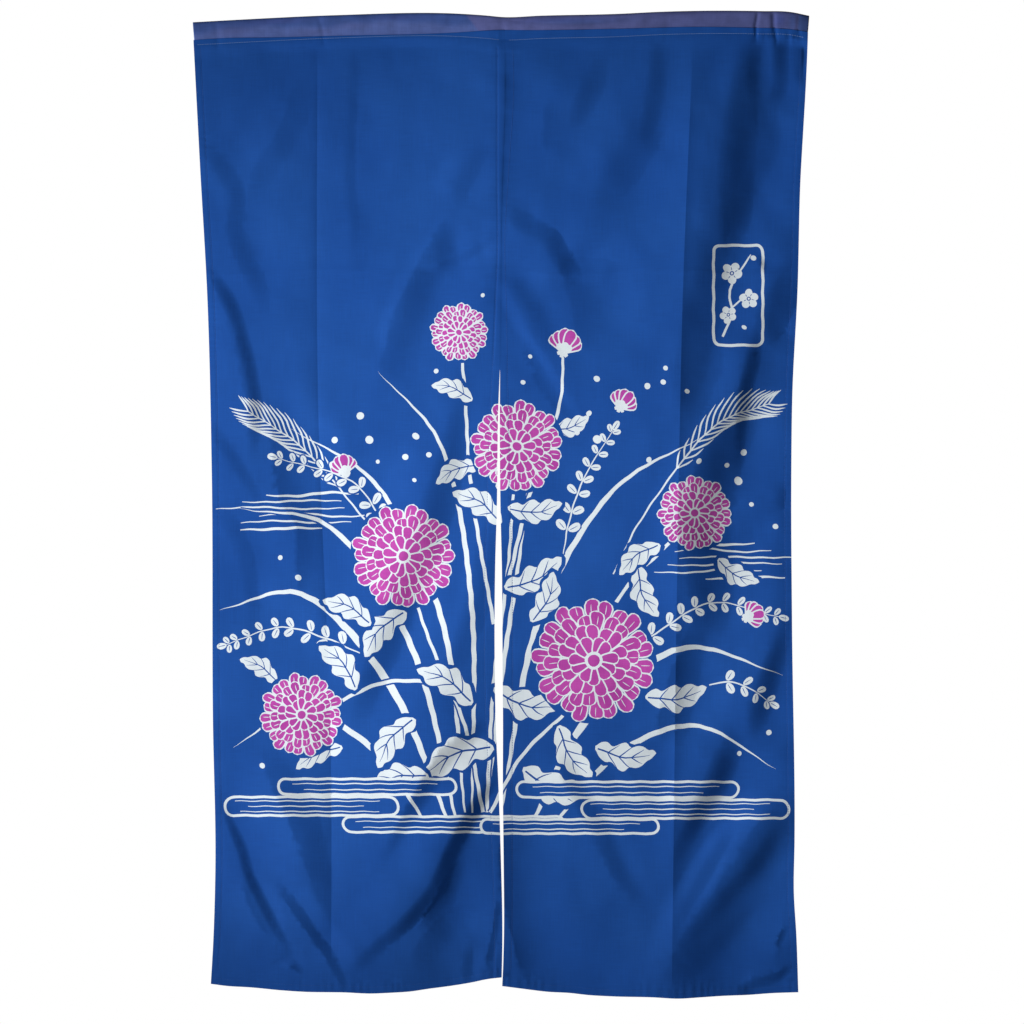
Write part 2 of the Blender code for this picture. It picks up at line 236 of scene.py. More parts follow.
def node(tree, kind, place, inputs=None, **settings):
    made = tree.nodes.new(kind)
    made.location = place
    for name, value in settings.items():
        setattr(made, name, value)
    feed(tree, made, inputs or {})
    return made


def new_material(name, roughness):
    material = bpy.data.materials.new(name)
    material.use_nodes = True
    shader = material.node_tree.nodes["Principled BSDF"]
    shader.inputs["Roughness"].default_value = roughness
    return material, material.node_tree, shader


def plain_weave_group():
    """Threads that cross over and under: their height, and the uneven tone of spun yarn."""
    tree = bpy.data.node_groups.new("plain weave", "ShaderNodeTree")
    for name, value in (("Threads per metre", 1900.0), ("Slub", 0.5)):
        socket = tree.interface.new_socket(name, in_out="INPUT", socket_type="NodeSocketFloat")
        socket.default_value = value
    for name in ("Height", "Tone"):
        tree.interface.new_socket(name, in_out="OUTPUT", socket_type="NodeSocketFloat")
    given = node(tree, "NodeGroupInput", (-1000, 0)).outputs
    place = node(tree, "ShaderNodeTexCoord", (-1000, 250)).outputs["Object"]
    split = node(tree, "ShaderNodeSeparateXYZ", (-800, 250), {0: place})

    def worked(operation, spot, *values):
        made = node(tree, "ShaderNodeMath", spot, dict(enumerate(values)), operation=operation)
        return made.outputs[0]

    turn = worked("MULTIPLY", (-800, 0), given["Threads per metre"], math.pi)
    waves = []
    for axis, level in (("X", 300), ("Z", 120)):
        counted = worked("MULTIPLY", (-600, level), split.outputs[axis], turn)
        waves.append(worked("SINE", (-420, level), counted))
    crossing = worked("MULTIPLY", (-240, 220), *waves)
    slubs = []
    for level, stretch in ((-150, (34.0, 0.0, 900.0)), (-410, (900.0, 0.0, 26.0))):
        spread = node(tree, "ShaderNodeMapping", (-600, level), {"Vector": place, "Scale": stretch})
        uneven = {"Vector": spread.outputs[0], "Scale": 1.0, "Detail": 2.0}
        slubs.append(node(tree, "ShaderNodeTexNoise", (-400, level), uneven).outputs[0])
    both = worked("ADD", (-200, -250), *slubs)
    slub = worked("MULTIPLY", (-20, -250), both, given["Slub"])
    height = worked("ADD", (200, 160), worked("MULTIPLY", (-40, 220), crossing, 0.5), slub)
    node(tree, "NodeGroupOutput", (700, 0), {"Height": height, "Tone": slub})
    return tree


PLAIN_WEAVE = plain_weave_group()
WEAVE_STRENGTH = 0.35
WEAVE_RELIEF = 0.00012


def cloth_material(name, colour, worn, patch_size, roughness, tone=0.16):
    """A dyed cloth. `worn` is the dye where it took less, in soft patches of `patch_size`."""
    material, tree, shader = new_material(name, roughness)
    place = node(tree, "ShaderNodeTexCoord", (-1100, 250)).outputs["Object"]
    noise = node(tree, "ShaderNodeTexNoise", (-900, 250), {
        "Vector": place, "Scale": 1 / patch_size, "Detail": 4.0, "Roughness": 0.55,
    })
    patches = node(tree, "ShaderNodeMapRange", (-700, 250), {
        "Value": noise.outputs[0], "From Min": 0.32, "From Max": 0.72,
    }, interpolation_type="SMOOTHSTEP")
    dye = node(tree, "ShaderNodeMix", (-480, 250), {
        0: patches.outputs[0], 6: (*colour, 1.0), 7: (*worn, 1.0),
    }, data_type="RGBA")
    weave = node(tree, "ShaderNodeGroup", (-700, -200), node_tree=PLAIN_WEAVE).outputs
    yarn = node(tree, "ShaderNodeMapRange", (-480, -100), {
        "Value": weave["Tone"], "From Min": 0.2, "From Max": 0.8,
        "To Min": 1 - tone, "To Max": 1 + tone,
    })
    woven = node(tree, "ShaderNodeVectorMath", (-240, 200), {
        0: dye.outputs[2], "Scale": yarn.outputs[0],
    }, operation="SCALE")
    relief = node(tree, "ShaderNodeBump", (-240, -250), {
        "Height": weave["Height"], "Strength": WEAVE_STRENGTH, "Distance": WEAVE_RELIEF,
    })
    feed(tree, shader, {
        "Base Color": woven.outputs[0], "Normal": relief.outputs[0],
        "Specular IOR Level": 0.15, "Sheen Weight": 0.04, "Sheen Roughness": 0.4,
    })
    return material


def strip_material():
    """The strip's blotchy dye and its painted shade along the top, a little darker in patches."""
    material = cloth_material("heading_cloth", STRIP_LIT_BELOW, STRIP_LIT_BELOW, 0.02, 0.82)
    tree = material.node_tree
    dye = next(made for made in tree.nodes if made.type == "MIX")
    painted = node(tree, "ShaderNodeAttribute", (-1100, 600), attribute_name="strip_dye_and_shade")
    painted = painted.outputs["Color"]
    darker = {0: painted, "Scale": 0.80}
    darker = node(tree, "ShaderNodeVectorMath", (-800, 500), darker, operation="SCALE")
    feed(tree, dye, {6: painted, 7: darker.outputs[0]})
    return material


pocket = add_pocket()
pocket.data.materials.append(strip_material())
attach(pocket, "root")
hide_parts("heading")


# ------------------------------------------------------------------ the two cloths
# Two pieces of plain-woven blue cotton, dyed with a white and magenta print, that hang side by
# side from the rod pocket in uneven folds. Every free edge is turned under twice and sewn. They
# are sewn together above the slit and are free below it.

# Where each cloth is cut: its side and its inner edge as (drop, across), its foot as (across,
# drop). The inner edges are one line down the seam and part at the slit.
SEAM = [(0.0, 0.45), (10.0, 0.60), (22.5, 0.22), (31.0, 0.03), (39.0, -0.02), (47.5, -0.12)]
Panel = namedtuple("Panel", "outer inner hem seam_side")
PANELS = {
    "left_panel": Panel(
        outer=[
            (0.0, -42.7), (21.0, -41.6), (39.0, -40.6), (63.0, -40.00), (97.0, -39.84),
            (118.0, -39.5), (127.0, -39.75), (135.0, -40.2),
        ],
        inner=SEAM + [
            (54.4, -0.38), (68.2, -0.58), (76.0, -0.80), (90.0, -0.86), (98.0, -0.72),
            (106.0, -0.36), (116.0, -0.02), (127.0, 0.20), (135.0, 0.05),
        ],
        hem=[
            (-40.2, 133.7), (-37.9, 134.0), (-34.6, 134.2), (-30.4, 134.6), (-27.4, 134.8),
            (-21.6, 134.9), (-18.0, 135.05), (-15.4, 134.95), (-12.4, 134.75), (-10.2, 134.42),
            (-6.9, 133.98), (-4.0, 133.5), (-2.0, 133.08), (0.3, 132.8),
        ],
        seam_side=-1,
    ),
    "right_panel": Panel(
        outer=[
            (0.0, 42.5), (3.0, 42.43), (10.0, 42.13), (15.5, 41.81), (22.0, 41.44), (38.0, 41.0),
            (52.0, 40.3), (63.0, 40.15), (84.0, 40.25), (114.0, 40.6), (121.0, 40.5),
            (127.0, 40.85), (136.0, 41.15),
        ],
        inner=SEAM + [
            (54.4, -0.16), (68.2, -0.07), (76.0, 0.11), (90.0, 0.22), (98.0, 0.27),
            (106.0, 0.25), (116.0, 0.35), (127.0, 0.40), (131.0, 0.30), (136.0, 0.06),
        ],
        hem=[
            (0.0, 134.0), (3.1, 134.4), (6.4, 134.8), (9.6, 134.98), (11.9, 135.24),
            (15.5, 135.45), (21.0, 135.58), (24.6, 135.76), (27.6, 135.58), (30.8, 135.37),
            (34.1, 135.24), (37.4, 135.0), (41.2, 134.87),
        ],
        seam_side=1,
    ),
}
# The blue cloth laps over the front of the rod pocket, up to this uneven line.
LAP_LINE = [
    (-42.6, 3.20), (-38.2, 2.93), (-32.6, 2.86), (-23.0, 2.63), (-5.7, 2.14), (-1.5, 1.86),
    (5.4, 1.84), (16.5, 1.63), (27.5, 1.38), (34.4, 1.49), (40.0, 1.72), (42.6, 2.10),
]

# Folds. Each follows a smooth curve through a few places, given as (across, drop). The cloth
# comes forward by `crest` over the width `lit`, falls to `trough` behind its plane over the
# width `shade`, and settles back over `settle`, counted from left to right of a fold that runs
# downwards. A round crest or trough is 1 and a sharp one 0. `fade_in` and `fade_out` are the
# shares of its length over which it grows and dies.
Fold = namedtuple(
    "Fold", "places crest trough lit shade settle round_crest round_trough fade_in fade_out"
)
FOLDS = {
    "left shoulder": Fold(
        [(-42.9, 15.4), (-39.5, 19.9), (-36.6, 23.7), (-36.4, 28.3), (-35.8, 31.8), (-33.8, 36.1),
         (-32.6, 41.9)], 0.00, 0.25, 0.60, 2.76, 6.50, 0.70, 0.75, 0.26, 0.22),
    "left shoulder, inner": Fold(
        [(-27.6, 7.7), (-28.3, 14.0), (-30.7, 18.8), (-32.9, 22.8), (-34.7, 27.1)],
        0.18, 0.00, 4.80, 3.35, 0.60, 0.58, 0.68, 0.20, 0.33),
    "left side": Fold(
        [(-40.4, 33.7), (-37.7, 38.9), (-36.2, 43.8), (-34.4, 49.4), (-33.5, 54.8), (-34.3, 62.4)],
        0.17, 0.20, 6.50, 2.25, 6.50, 0.74, 1.00, 0.20, 0.22),
    "left side, lower": Fold(
        [(-31.8, 51.6), (-29.7, 57.1), (-29.8, 62.0), (-29.3, 66.4), (-26.4, 70.1), (-26.0, 76.5),
         (-26.8, 83.7)], 0.00, 0.33, 0.60, 3.69, 6.50, 0.17, 0.96, 0.20, 0.22),
    "left edge line": Fold(
        [(-40.0, 56.0), (-36.8, 61.4), (-34.2, 66.3), (-32.2, 70.1)],
        0.14, 0.01, 5.45, 1.97, 0.91, 0.77, 1.00, 0.20, 0.70),
    "left edge, lower": Fold(
        [(-39.7, 67.3), (-36.3, 72.6), (-34.2, 79.2), (-34.5, 87.2)],
        0.00, 0.17, 0.92, 2.89, 4.96, 1.00, 0.69, 0.20, 0.49),
    "left pressed line": Fold(
        [(-21.0, 1.0), (-20.5, 14.4), (-20.6, 35.0)],
        0.00, 0.13, 0.60, 1.80, 6.50, 0.77, 0.65, 0.56, 0.32),
    "seam dimple": Fold(
        [(-2.2, 17.6), (-4.7, 21.9), (-7.2, 26.0)],
        0.16, 0.11, 2.79, 2.96, 2.48, 0.99, 0.75, 0.60, 0.25),
    "left seam drag": Fold(
        [(-12.3, 33.1), (-6.2, 31.5), (0.2, 29.2)],
        0.28, 0.00, 1.52, 3.56, 0.60, 0.59, 0.32, 0.30, 0.48),
    "left drag, falling": Fold(
        [(-5.6, 26.4), (-8.0, 32.0), (-10.8, 38.3), (-12.4, 42.3), (-13.7, 46.4), (-16.8, 52.5)],
        0.11, 0.44, 2.06, 4.50, 6.50, 0.60, 1.00, 0.30, 0.32),
    "left drag, under seam": Fold(
        [(-8.2, 34.5), (-4.0, 33.9), (-0.2, 32.8)],
        0.00, 0.20, 0.60, 4.50, 4.37, 0.00, 1.00, 0.37, 0.31),
    "left slit drag": Fold(
        [(-3.8, 48.7), (-6.0, 55.9), (-7.2, 63.7), (-9.9, 71.7), (-13.8, 80.1), (-17.9, 92.9),
         (-20.2, 100.9)], 0.29, 0.58, 6.68, 4.98, 8.00, 1.00, 0.84, 0.43, 0.29),
    "slit side": Fold(
        [(-1.0, 67.1), (-2.2, 75.6), (-3.6, 84.1), (-7.6, 92.3)],
        0.08, 0.11, 2.00, 3.41, 6.50, 1.00, 0.60, 0.30, 0.30),
    "left wedge": Fold(
        [(-32.9, 99.5), (-28.1, 108.3), (-26.2, 114.8), (-24.0, 121.0), (-21.6, 127.4)],
        0.55, 0.00, 7.56, 4.35, 0.60, 0.46, 0.64, 0.24, 0.70),
    "left corner": Fold(
        [(-38.6, 107.8), (-36.1, 114.6), (-35.0, 119.3), (-32.1, 124.5), (-28.2, 130.2)],
        0.21, 0.25, 5.18, 1.82, 6.50, 1.00, 1.00, 0.26, 0.22),
    "left corner, foot": Fold(
        [(-36.0, 117.9), (-33.7, 122.8), (-30.7, 127.5)],
        0.06, 0.14, 2.89, 2.27, 1.60, 0.00, 0.95, 0.39, 0.29),
    "left tuck": Fold(
        [(-31.8, 119.5), (-28.0, 123.6), (-24.8, 127.7), (-22.9, 130.8), (-21.5, 135.3)],
        0.18, 0.19, 3.91, 1.50, 2.51, 0.35, 0.60, 0.20, 0.30),
    "left deep fold": Fold(
        [(0.2, 104.9), (-2.4, 107.3), (-4.6, 111.6), (-6.6, 115.7), (-8.9, 120.9), (-13.3, 125.3),
         (-17.8, 128.7), (-22.7, 134.3)], 0.55, 0.17, 6.79, 2.46, 6.86, 1.00, 0.70, 0.23, 0.33),
    "left deep fold, back": Fold(
        [(-4.1, 115.5), (-6.2, 119.6), (-7.9, 123.2), (-11.5, 126.6)],
        0.09, 0.42, 1.99, 2.51, 5.97, 0.20, 1.00, 0.60, 0.26),
    "above deep fold": Fold(
        [(-2.1, 97.6), (-5.0, 99.8), (-8.1, 102.4), (-10.6, 107.3), (-13.5, 112.5), (-16.4, 117.6)],
        0.30, 0.20, 4.87, 2.68, 4.96, 0.54, 1.00, 0.26, 0.36),
    "left foot dimple": Fold(
        [(-30.7, 130.7), (-28.4, 131.0), (-27.0, 132.6)],
        0.19, 0.11, 0.70, 1.31, 1.53, 0.25, 0.66, 0.44, 0.55),
    "under deep fold": Fold(
        [(-2.9, 123.3), (-7.8, 126.7), (-12.9, 131.9)],
        0.00, 0.32, 0.60, 3.71, 6.50, 0.35, 1.00, 0.32, 0.36),
    "slit foot, first": Fold(
        [(-0.6, 121.3), (-1.1, 127.4), (-2.1, 133.3)],
        0.07, 0.04, 1.54, 0.90, 0.77, 0.17, 0.57, 0.20, 0.28),
    "slit foot, second": Fold(
        [(-4.6, 127.7), (-4.6, 130.6), (-4.8, 134.2)],
        0.00, 0.17, 0.60, 1.56, 2.10, 0.50, 0.57, 0.60, 0.22),
    "right top fold": Fold(
        [(35.2, -1.4), (34.5, 5.2), (33.7, 11.8), (33.1, 16.7), (32.0, 22.1), (32.2, 28.2),
         (30.9, 33.9)], 0.23, 0.61, 4.39, 5.09, 6.50, 0.99, 0.91, 0.44, 0.22),
    "right top fold, brim": Fold(
        [(35.8, 2.0), (35.8, 7.0), (36.7, 13.1), (36.6, 18.5), (34.5, 23.6), (33.4, 27.7)],
        0.17, 0.16, 4.35, 3.85, 6.50, 1.00, 1.00, 0.20, 0.47),
    "top right pleat": Fold(
        [(38.8, 0.3), (38.9, 4.8), (38.9, 9.2), (37.5, 12.8)],
        0.04, 0.40, 1.47, 2.72, 6.50, 1.00, 1.00, 0.15, 0.30),
    "top right corner": Fold(
        [(41.1, 1.6), (41.4, 4.7), (41.3, 9.3)],
        0.00, 0.21, 0.60, 1.72, 3.84, 0.89, 0.00, 0.15, 0.22),
    "right shoulder": Fold(
        [(21.5, 0.1), (21.5, 8.9), (21.0, 14.3), (19.3, 18.4)],
        0.07, 0.24, 3.54, 3.02, 5.19, 0.69, 0.92, 0.41, 0.51),
    "right shoulder, lower": Fold(
        [(21.8, 11.7), (19.3, 17.7), (15.8, 23.4), (12.5, 29.0)],
        0.20, 0.39, 6.50, 5.81, 6.50, 1.00, 0.70, 0.29, 0.47),
    "right seam shade": Fold(
        [(13.6, 3.2), (13.2, 8.7), (11.1, 12.8), (9.2, 16.8)],
        0.20, 0.17, 5.60, 3.33, 5.73, 0.82, 0.90, 0.58, 0.39),
    "right shade by seam": Fold(
        [(7.4, 10.6), (7.8, 15.0), (7.1, 19.3)],
        0.00, 0.20, 0.60, 3.99, 6.45, 0.16, 1.00, 0.35, 0.29),
    "right seam drag": Fold(
        [(0.4, 26.5), (3.5, 28.6), (7.0, 30.1), (8.5, 33.5), (10.4, 36.6)],
        0.30, 0.19, 5.68, 3.20, 5.23, 1.00, 0.58, 0.28, 0.22),
    "right drag, level": Fold(
        [(8.9, 33.6), (12.4, 34.2), (16.2, 34.6)],
        0.12, 0.01, 1.67, 1.94, 2.40, 0.90, 0.00, 0.28, 0.33),
    "right drag, tail": Fold(
        [(9.2, 31.6), (10.9, 36.1), (12.0, 40.6), (13.5, 46.8)],
        0.00, 0.33, 0.60, 4.50, 6.50, 0.52, 1.00, 0.20, 0.22),
    "right seam drag, lower": Fold(
        [(1.4, 34.8), (3.4, 38.6), (4.9, 42.3), (7.1, 46.2), (11.2, 51.6)],
        0.16, 0.06, 2.28, 3.33, 2.47, 0.95, 1.00, 0.20, 0.53),
    "slit head ridge": Fold(
        [(0.6, 42.1), (3.9, 47.2), (7.0, 52.2), (11.7, 57.4)],
        0.00, 0.11, 0.60, 1.54, 1.59, 0.00, 0.82, 0.60, 0.33),
    "right hollow": Fold(
        [(29.4, 18.8), (28.9, 27.8), (29.2, 35.9), (27.7, 43.1), (25.6, 50.3), (23.9, 59.2)],
        0.00, 0.55, 1.27, 5.40, 6.17, 0.88, 0.89, 0.34, 0.42),
    "right hollow, brow": Fold(
        [(30.1, 43.8), (28.4, 49.6), (26.2, 54.8), (24.9, 59.8)],
        0.00, 0.10, 1.46, 3.07, 3.03, 0.79, 0.39, 0.21, 0.55),
    "right middle fold": Fold(
        [(35.8, 41.5), (34.9, 45.9), (33.7, 51.0), (33.3, 56.0), (33.3, 61.3), (32.9, 66.7)],
        0.22, 0.22, 4.45, 2.43, 5.61, 0.85, 1.00, 0.32, 0.68),
    "right middle, lower": Fold(
        [(35.4, 49.6), (33.0, 55.7), (30.8, 61.7), (29.1, 67.3), (28.5, 73.5), (29.0, 80.9),
         (28.2, 89.1)], 0.41, 0.57, 5.58, 6.50, 6.50, 0.81, 0.86, 0.25, 0.22),
    "right middle, foot": Fold(
        [(28.0, 81.0), (26.7, 88.0), (25.0, 95.0), (23.5, 100.8)],
        0.00, 0.51, 0.60, 4.50, 4.97, 0.27, 0.76, 0.60, 0.22),
    "right edge tuck": Fold(
        [(42.1, 33.8), (40.3, 37.0), (38.2, 40.4), (35.8, 44.6)],
        0.20, 0.33, 3.61, 4.12, 4.69, 0.65, 0.52, 0.52, 0.22),
    "right edge line": Fold(
        [(36.3, 34.4), (38.0, 34.3), (40.1, 34.0)],
        0.00, 0.20, 0.60, 1.39, 4.09, 0.00, 0.86, 0.22, 0.70),
    "right edge dimple": Fold(
        [(39.1, 64.0), (38.6, 66.6), (38.1, 68.8)],
        0.14, 0.01, 6.50, 1.44, 0.60, 0.77, 0.28, 0.52, 0.25),
    "right middle, back": Fold(
        [(38.2, 68.9), (35.1, 69.5), (31.9, 70.1)],
        0.06, 0.20, 0.69, 4.50, 6.50, 1.00, 1.00, 0.45, 0.44),
    "right side fold": Fold(
        [(40.7, 80.7), (38.9, 87.0), (36.8, 92.7), (34.1, 100.3)],
        0.35, 0.32, 4.92, 3.12, 5.32, 0.82, 1.00, 0.58, 0.22),
    "right long fold": Fold(
        [(32.8, 98.3), (30.0, 105.0), (27.7, 109.6), (25.4, 114.2), (23.6, 121.3)],
        0.35, 0.51, 5.49, 4.25, 6.50, 1.00, 0.97, 0.20, 0.67),
    "right ridge": Fold(
        [(42.4, 107.5), (39.6, 112.1), (35.4, 117.8), (32.2, 122.8), (28.5, 127.2), (24.9, 131.9),
         (22.9, 137.1)], 0.69, 0.53, 5.08, 6.31, 6.50, 0.81, 1.00, 0.20, 0.43),
    "right ridge, brow": Fold(
        [(40.1, 110.0), (35.8, 117.2), (31.0, 121.5), (26.6, 126.4), (24.1, 130.5)],
        0.09, 0.12, 2.98, 2.64, 2.50, 1.00, 1.00, 0.20, 0.70),
    "right ridge, line": Fold(
        [(32.7, 111.9), (29.1, 117.6), (26.0, 122.8), (23.2, 127.9)],
        0.18, 0.05, 2.12, 2.02, 0.60, 0.89, 0.77, 0.20, 0.70),
    "right soft fold": Fold(
        [(8.6, 101.0), (10.6, 106.4), (13.7, 112.7), (16.2, 118.3), (21.4, 123.6)],
        0.26, 0.08, 5.52, 2.96, 2.28, 0.73, 1.00, 0.20, 0.22),
    "right soft fold, second": Fold(
        [(13.2, 100.0), (14.3, 104.9), (16.7, 109.9)],
        0.19, 0.02, 6.31, 3.48, 0.96, 1.00, 0.88, 0.55, 0.53),
    "right middle line": Fold(
        [(19.0, 100.7), (21.3, 106.3), (22.9, 111.2)],
        0.00, 0.20, 0.60, 4.50, 6.50, 0.00, 1.00, 0.20, 0.55),
    "beside slit": Fold(
        [(2.4, 108.1), (1.6, 115.2), (1.6, 122.0), (3.7, 128.5), (5.9, 135.7)],
        0.00, 0.33, 0.60, 3.43, 6.50, 0.00, 1.00, 0.29, 0.24),
    "right foot crease": Fold(
        [(40.6, 131.7), (38.5, 132.9), (35.4, 133.5), (32.7, 133.4)],
        0.17, 0.20, 1.87, 1.37, 3.89, 0.51, 1.00, 0.34, 0.30),
    "right corner mark": Fold(
        [(39.3, 125.9), (38.4, 128.4), (37.6, 130.8)],
        0.04, 0.11, 1.89, 0.89, 3.90, 0.02, 0.71, 0.20, 0.70),
}
STRAY = 0.35
STRAY_WAVES = (26.0, 40.0, 23.0, 50.0)
ROUTE_STEPS = 16
FOLD_TIP = 0.55
RIDGE_STEP = 0.30
RIDGE_LEAST = 0.10
LINE_GAPS = (-0.30, -0.11, 0.11, 0.30)
SEAM_GAPS = (-0.14, 0.03, 0.20, 0.45)
CREASE_GAPS = (-0.04, 0.04)
PINNED_BELOW = 3.1
FREE_BELOW = 4.8
HELD_BACK = 0.03

# The creases of the packet the curtain was stored in: lines as (drop, across), and a level one.
Crease = namedtuple("Crease", "line height left right top bottom")
LEFT_CREASE = [(0.0, -25.4), (53.0, -25.3), (104.0, -23.5), (135.0, -23.5)]
RIGHT_CREASE = [(0.0, 26.7), (40.0, 25.1), (75.0, 24.4), (136.0, 23.6)]
CREASES = (
    Crease(LEFT_CREASE, -0.08, 0.6, 1.0, 2.0, 90.0),
    Crease(LEFT_CREASE, -0.62, 4.0, 7.0, 94.0, 131.0),
    Crease(RIGHT_CREASE, 0.50, 6.0, 2.6, 1.0, 140.0),
)
LEVEL_CREASE_DROP = 35.3
LEVEL_CREASE_HEIGHT = 0.035
LEVEL_CREASE_WIDTH = 0.45

# Broad swells of the hanging cloth, and small ones all over as (wave length, height).
Swell = namedtuple("Swell", "across drop wide tall height")
SWELLS = (
    Swell(-20.5, 71.4, 11.5, 23.2, -0.76),
    Swell(-20.7, 127.9, 12.2, 23.5, 1.30),
    Swell(-32.0, 86.6, 6.3, 15.1, -0.35),
    Swell(23.0, 59.9, 11.9, 18.4, 0.64),
    Swell(23.2, 134.5, 8.8, 8.0, 1.03),
    Swell(40.6, 48.0, 8.2, 40.0, -0.28),
    Swell(-14.9, 26.0, 13.8, 40.0, -0.36),
    Swell(6.0, 13.0, 16.0, 8.0, 0.48),
    Swell(-3.9, 72.0, 4.0, 15.0, 0.08),
    Swell(6.6, 93.4, 6.7, 40.0, -0.27),
    Swell(28.4, 28.8, 7.8, 21.4, 0.53),
    Swell(-26.0, 39.4, 9.4, 29.6, -0.47),
    Swell(38.7, 85.6, 8.6, 8.0, 0.59),
    Swell(-10.5, 104.0, 8.3, 22.3, 0.76),
    Swell(24.0, 116.0, 16.0, 22.8, -0.90),
)
RIPPLES = ((19.0, 0.070), (13.0, 0.040), (8.5, 0.022), (5.5, 0.010), (3.6, 0.005))
RIPPLE_SEED = 11


def smooth_path(places, steps):
    """Points on the smooth curve through a few places."""
    knots = range(len(places))
    stations = np.linspace(0, knots[-1], steps + 1)
    along = [smooth_line(list(zip(knots, values)), stations) for values in zip(*places)]
    return np.column_stack(along)


def passed_along(path):
    """How far along a path each of its points lies."""
    return np.concatenate([[0.0], np.cumsum(np.linalg.norm(np.diff(path, axis=0), axis=1))])


def unit(rows):
    return rows / np.linalg.norm(rows, axis=1)[:, None]


def sideways(path):
    """The way across a path at each of its points, to the right of one that runs down."""
    run = unit(np.gradient(path, axis=0))
    return np.column_stack([run[:, 1], -run[:, 0]])


def beside_route(route, across, drop):
    """Distance from a route, positive on the right of one that runs down, and the share passed."""
    nearest = np.full(across.shape, np.inf)
    side = np.zeros(across.shape)
    weights = passed = 0.0
    for step, (here, there) in enumerate(zip(route, route[1:])):
        run = there - here
        share = ((across - here[0]) * run[0] + (drop - here[1]) * run[1]) / (run @ run)
        share = np.clip(share, 0.0, 1.0)
        off_across = across - here[0] - share * run[0]
        off_drop = drop - here[1] - share * run[1]
        far = off_across**2 + off_drop**2
        weight = (far + 0.3) ** -3
        weights, passed = weights + weight, passed + weight * (step + share)
        closer = far < nearest
        nearest = np.where(closer, far, nearest)
        side = np.where(closer, np.sign(off_across * run[1] - off_drop * run[0]), side)
    return np.sqrt(nearest) * side, passed / weights / ROUTE_STEPS


def slope_part(t, soft_start, soft_stop):
    """A climb from 0 to 1 that starts and stops softly (1) or sharply (0)."""
    return (
        (1 - soft_start) * (1 - soft_stop) * t
        + soft_start * soft_stop * t * t * (3 - 2 * t)
        + soft_start * (1 - soft_stop) * t * t
        + (1 - soft_start) * soft_stop * t * (2 - t)
    )


def fold_strength(fold, passed):
    """How strong a fold is along its length, and how wide: it narrows towards its ends."""
    strength = ease(0.0, fold.fade_in, passed) * ease(0.0, fold.fade_out, 1 - passed)
    return strength, FOLD_TIP + (1 - FOLD_TIP) * strength


def fold_height(fold, across, drop):
    route = smooth_path(fold.places, ROUTE_STEPS)
    wide = max(fold.lit, fold.settle) + fold.shade / 2
    low, high = route.min(0) - wide, route.max(0) + wide
    near = (across > low[0]) & (across < high[0]) & (drop > low[1]) & (drop < high[1])
    height = np.zeros(across.shape)
    if not near.any():
        return height
    gap, passed = beside_route(route, across[near], drop[near])
    strength, taper = fold_strength(fold, passed)
    half = fold.shade / 2 * taper
    lit, settle = fold.lit * taper, fold.settle * taper
    rise = slope_part(np.clip((gap + half + lit) / lit, 0, 1), 1, fold.round_crest)
    fall = np.clip((gap + half) / (2 * half), 0, 1)
    fall = slope_part(fall, fold.round_crest, fold.round_trough)
    level = slope_part(np.clip((gap - half) / settle, 0, 1), fold.round_trough, 1)
    falling = fold.crest - (fold.crest + fold.trough) * fall
    settling = np.where(gap < half, falling, -fold.trough * (1 - level))
    height[near] = np.where(gap < -half, fold.crest * rise, settling) * strength
    return height


def crease_height(crease, across, drop):
    gap = across - smooth_line(crease.line, drop)
    width = np.where(gap < 0, crease.left, crease.right)
    fade = 0.12 * (crease.bottom - crease.top)
    present = ease(crease.top, crease.top + fade, drop) * ease(0.0, fade, crease.bottom - drop)
    return crease.height * np.exp(-np.abs(gap) / width) * present


def swell_height(swell, across, drop):
    off = ((across - swell.across) / swell.wide) ** 2 + ((drop - swell.drop) / swell.tall) ** 2
    return swell.height * np.exp(-off)


def ripple_height(across, drop):
    chance = np.random.default_rng(RIPPLE_SEED)
    height = 0.0
    for wave, size in RIPPLES:
        for heading in chance.uniform(0.0, np.pi, 3):
            start, bow = chance.uniform(0.0, 2 * np.pi, 2)
            along = across * np.cos(heading) + drop * np.sin(heading)
            beside = drop * np.cos(heading) - across * np.sin(heading)
            bent = along + 0.3 * wave * np.sin(beside / wave * 2.1 + bow)
            height = height + size / 2 * np.sin(2 * np.pi * bent / wave + start)
    return height


def stray(across, drop):
    """Shifts that make every fold waver a little."""
    turn_a, turn_b, turn_c, turn_d = (2 * np.pi / wave for wave in STRAY_WAVES)
    aside = STRAY * np.sin(turn_a * drop + turn_b * across)
    return aside, STRAY * np.sin(turn_c * across - turn_d * drop)


def fold_ridge_points():
    """Points along the crest and the trough of every fold, for the cloth's triangles to follow."""
    spots = []
    for fold in FOLDS.values():
        length = passed_along(fold.places)[-1]
        route = smooth_path(fold.places, int(length / RIDGE_STEP))
        strength, taper = fold_strength(fold, np.linspace(0.0, 1.0, len(route)))
        aside = sideways(route) * (fold.shade / 2 * taper)[:, None]
        sharp = strength * (fold.crest + fold.trough) > RIDGE_LEAST
        spots += [(route + side * aside)[sharp] for side in (-1, 1)]
    places = spots = np.vstack(spots)
    for _ in range(3):
        places = spots - np.column_stack(stray(*places.T))
    return places


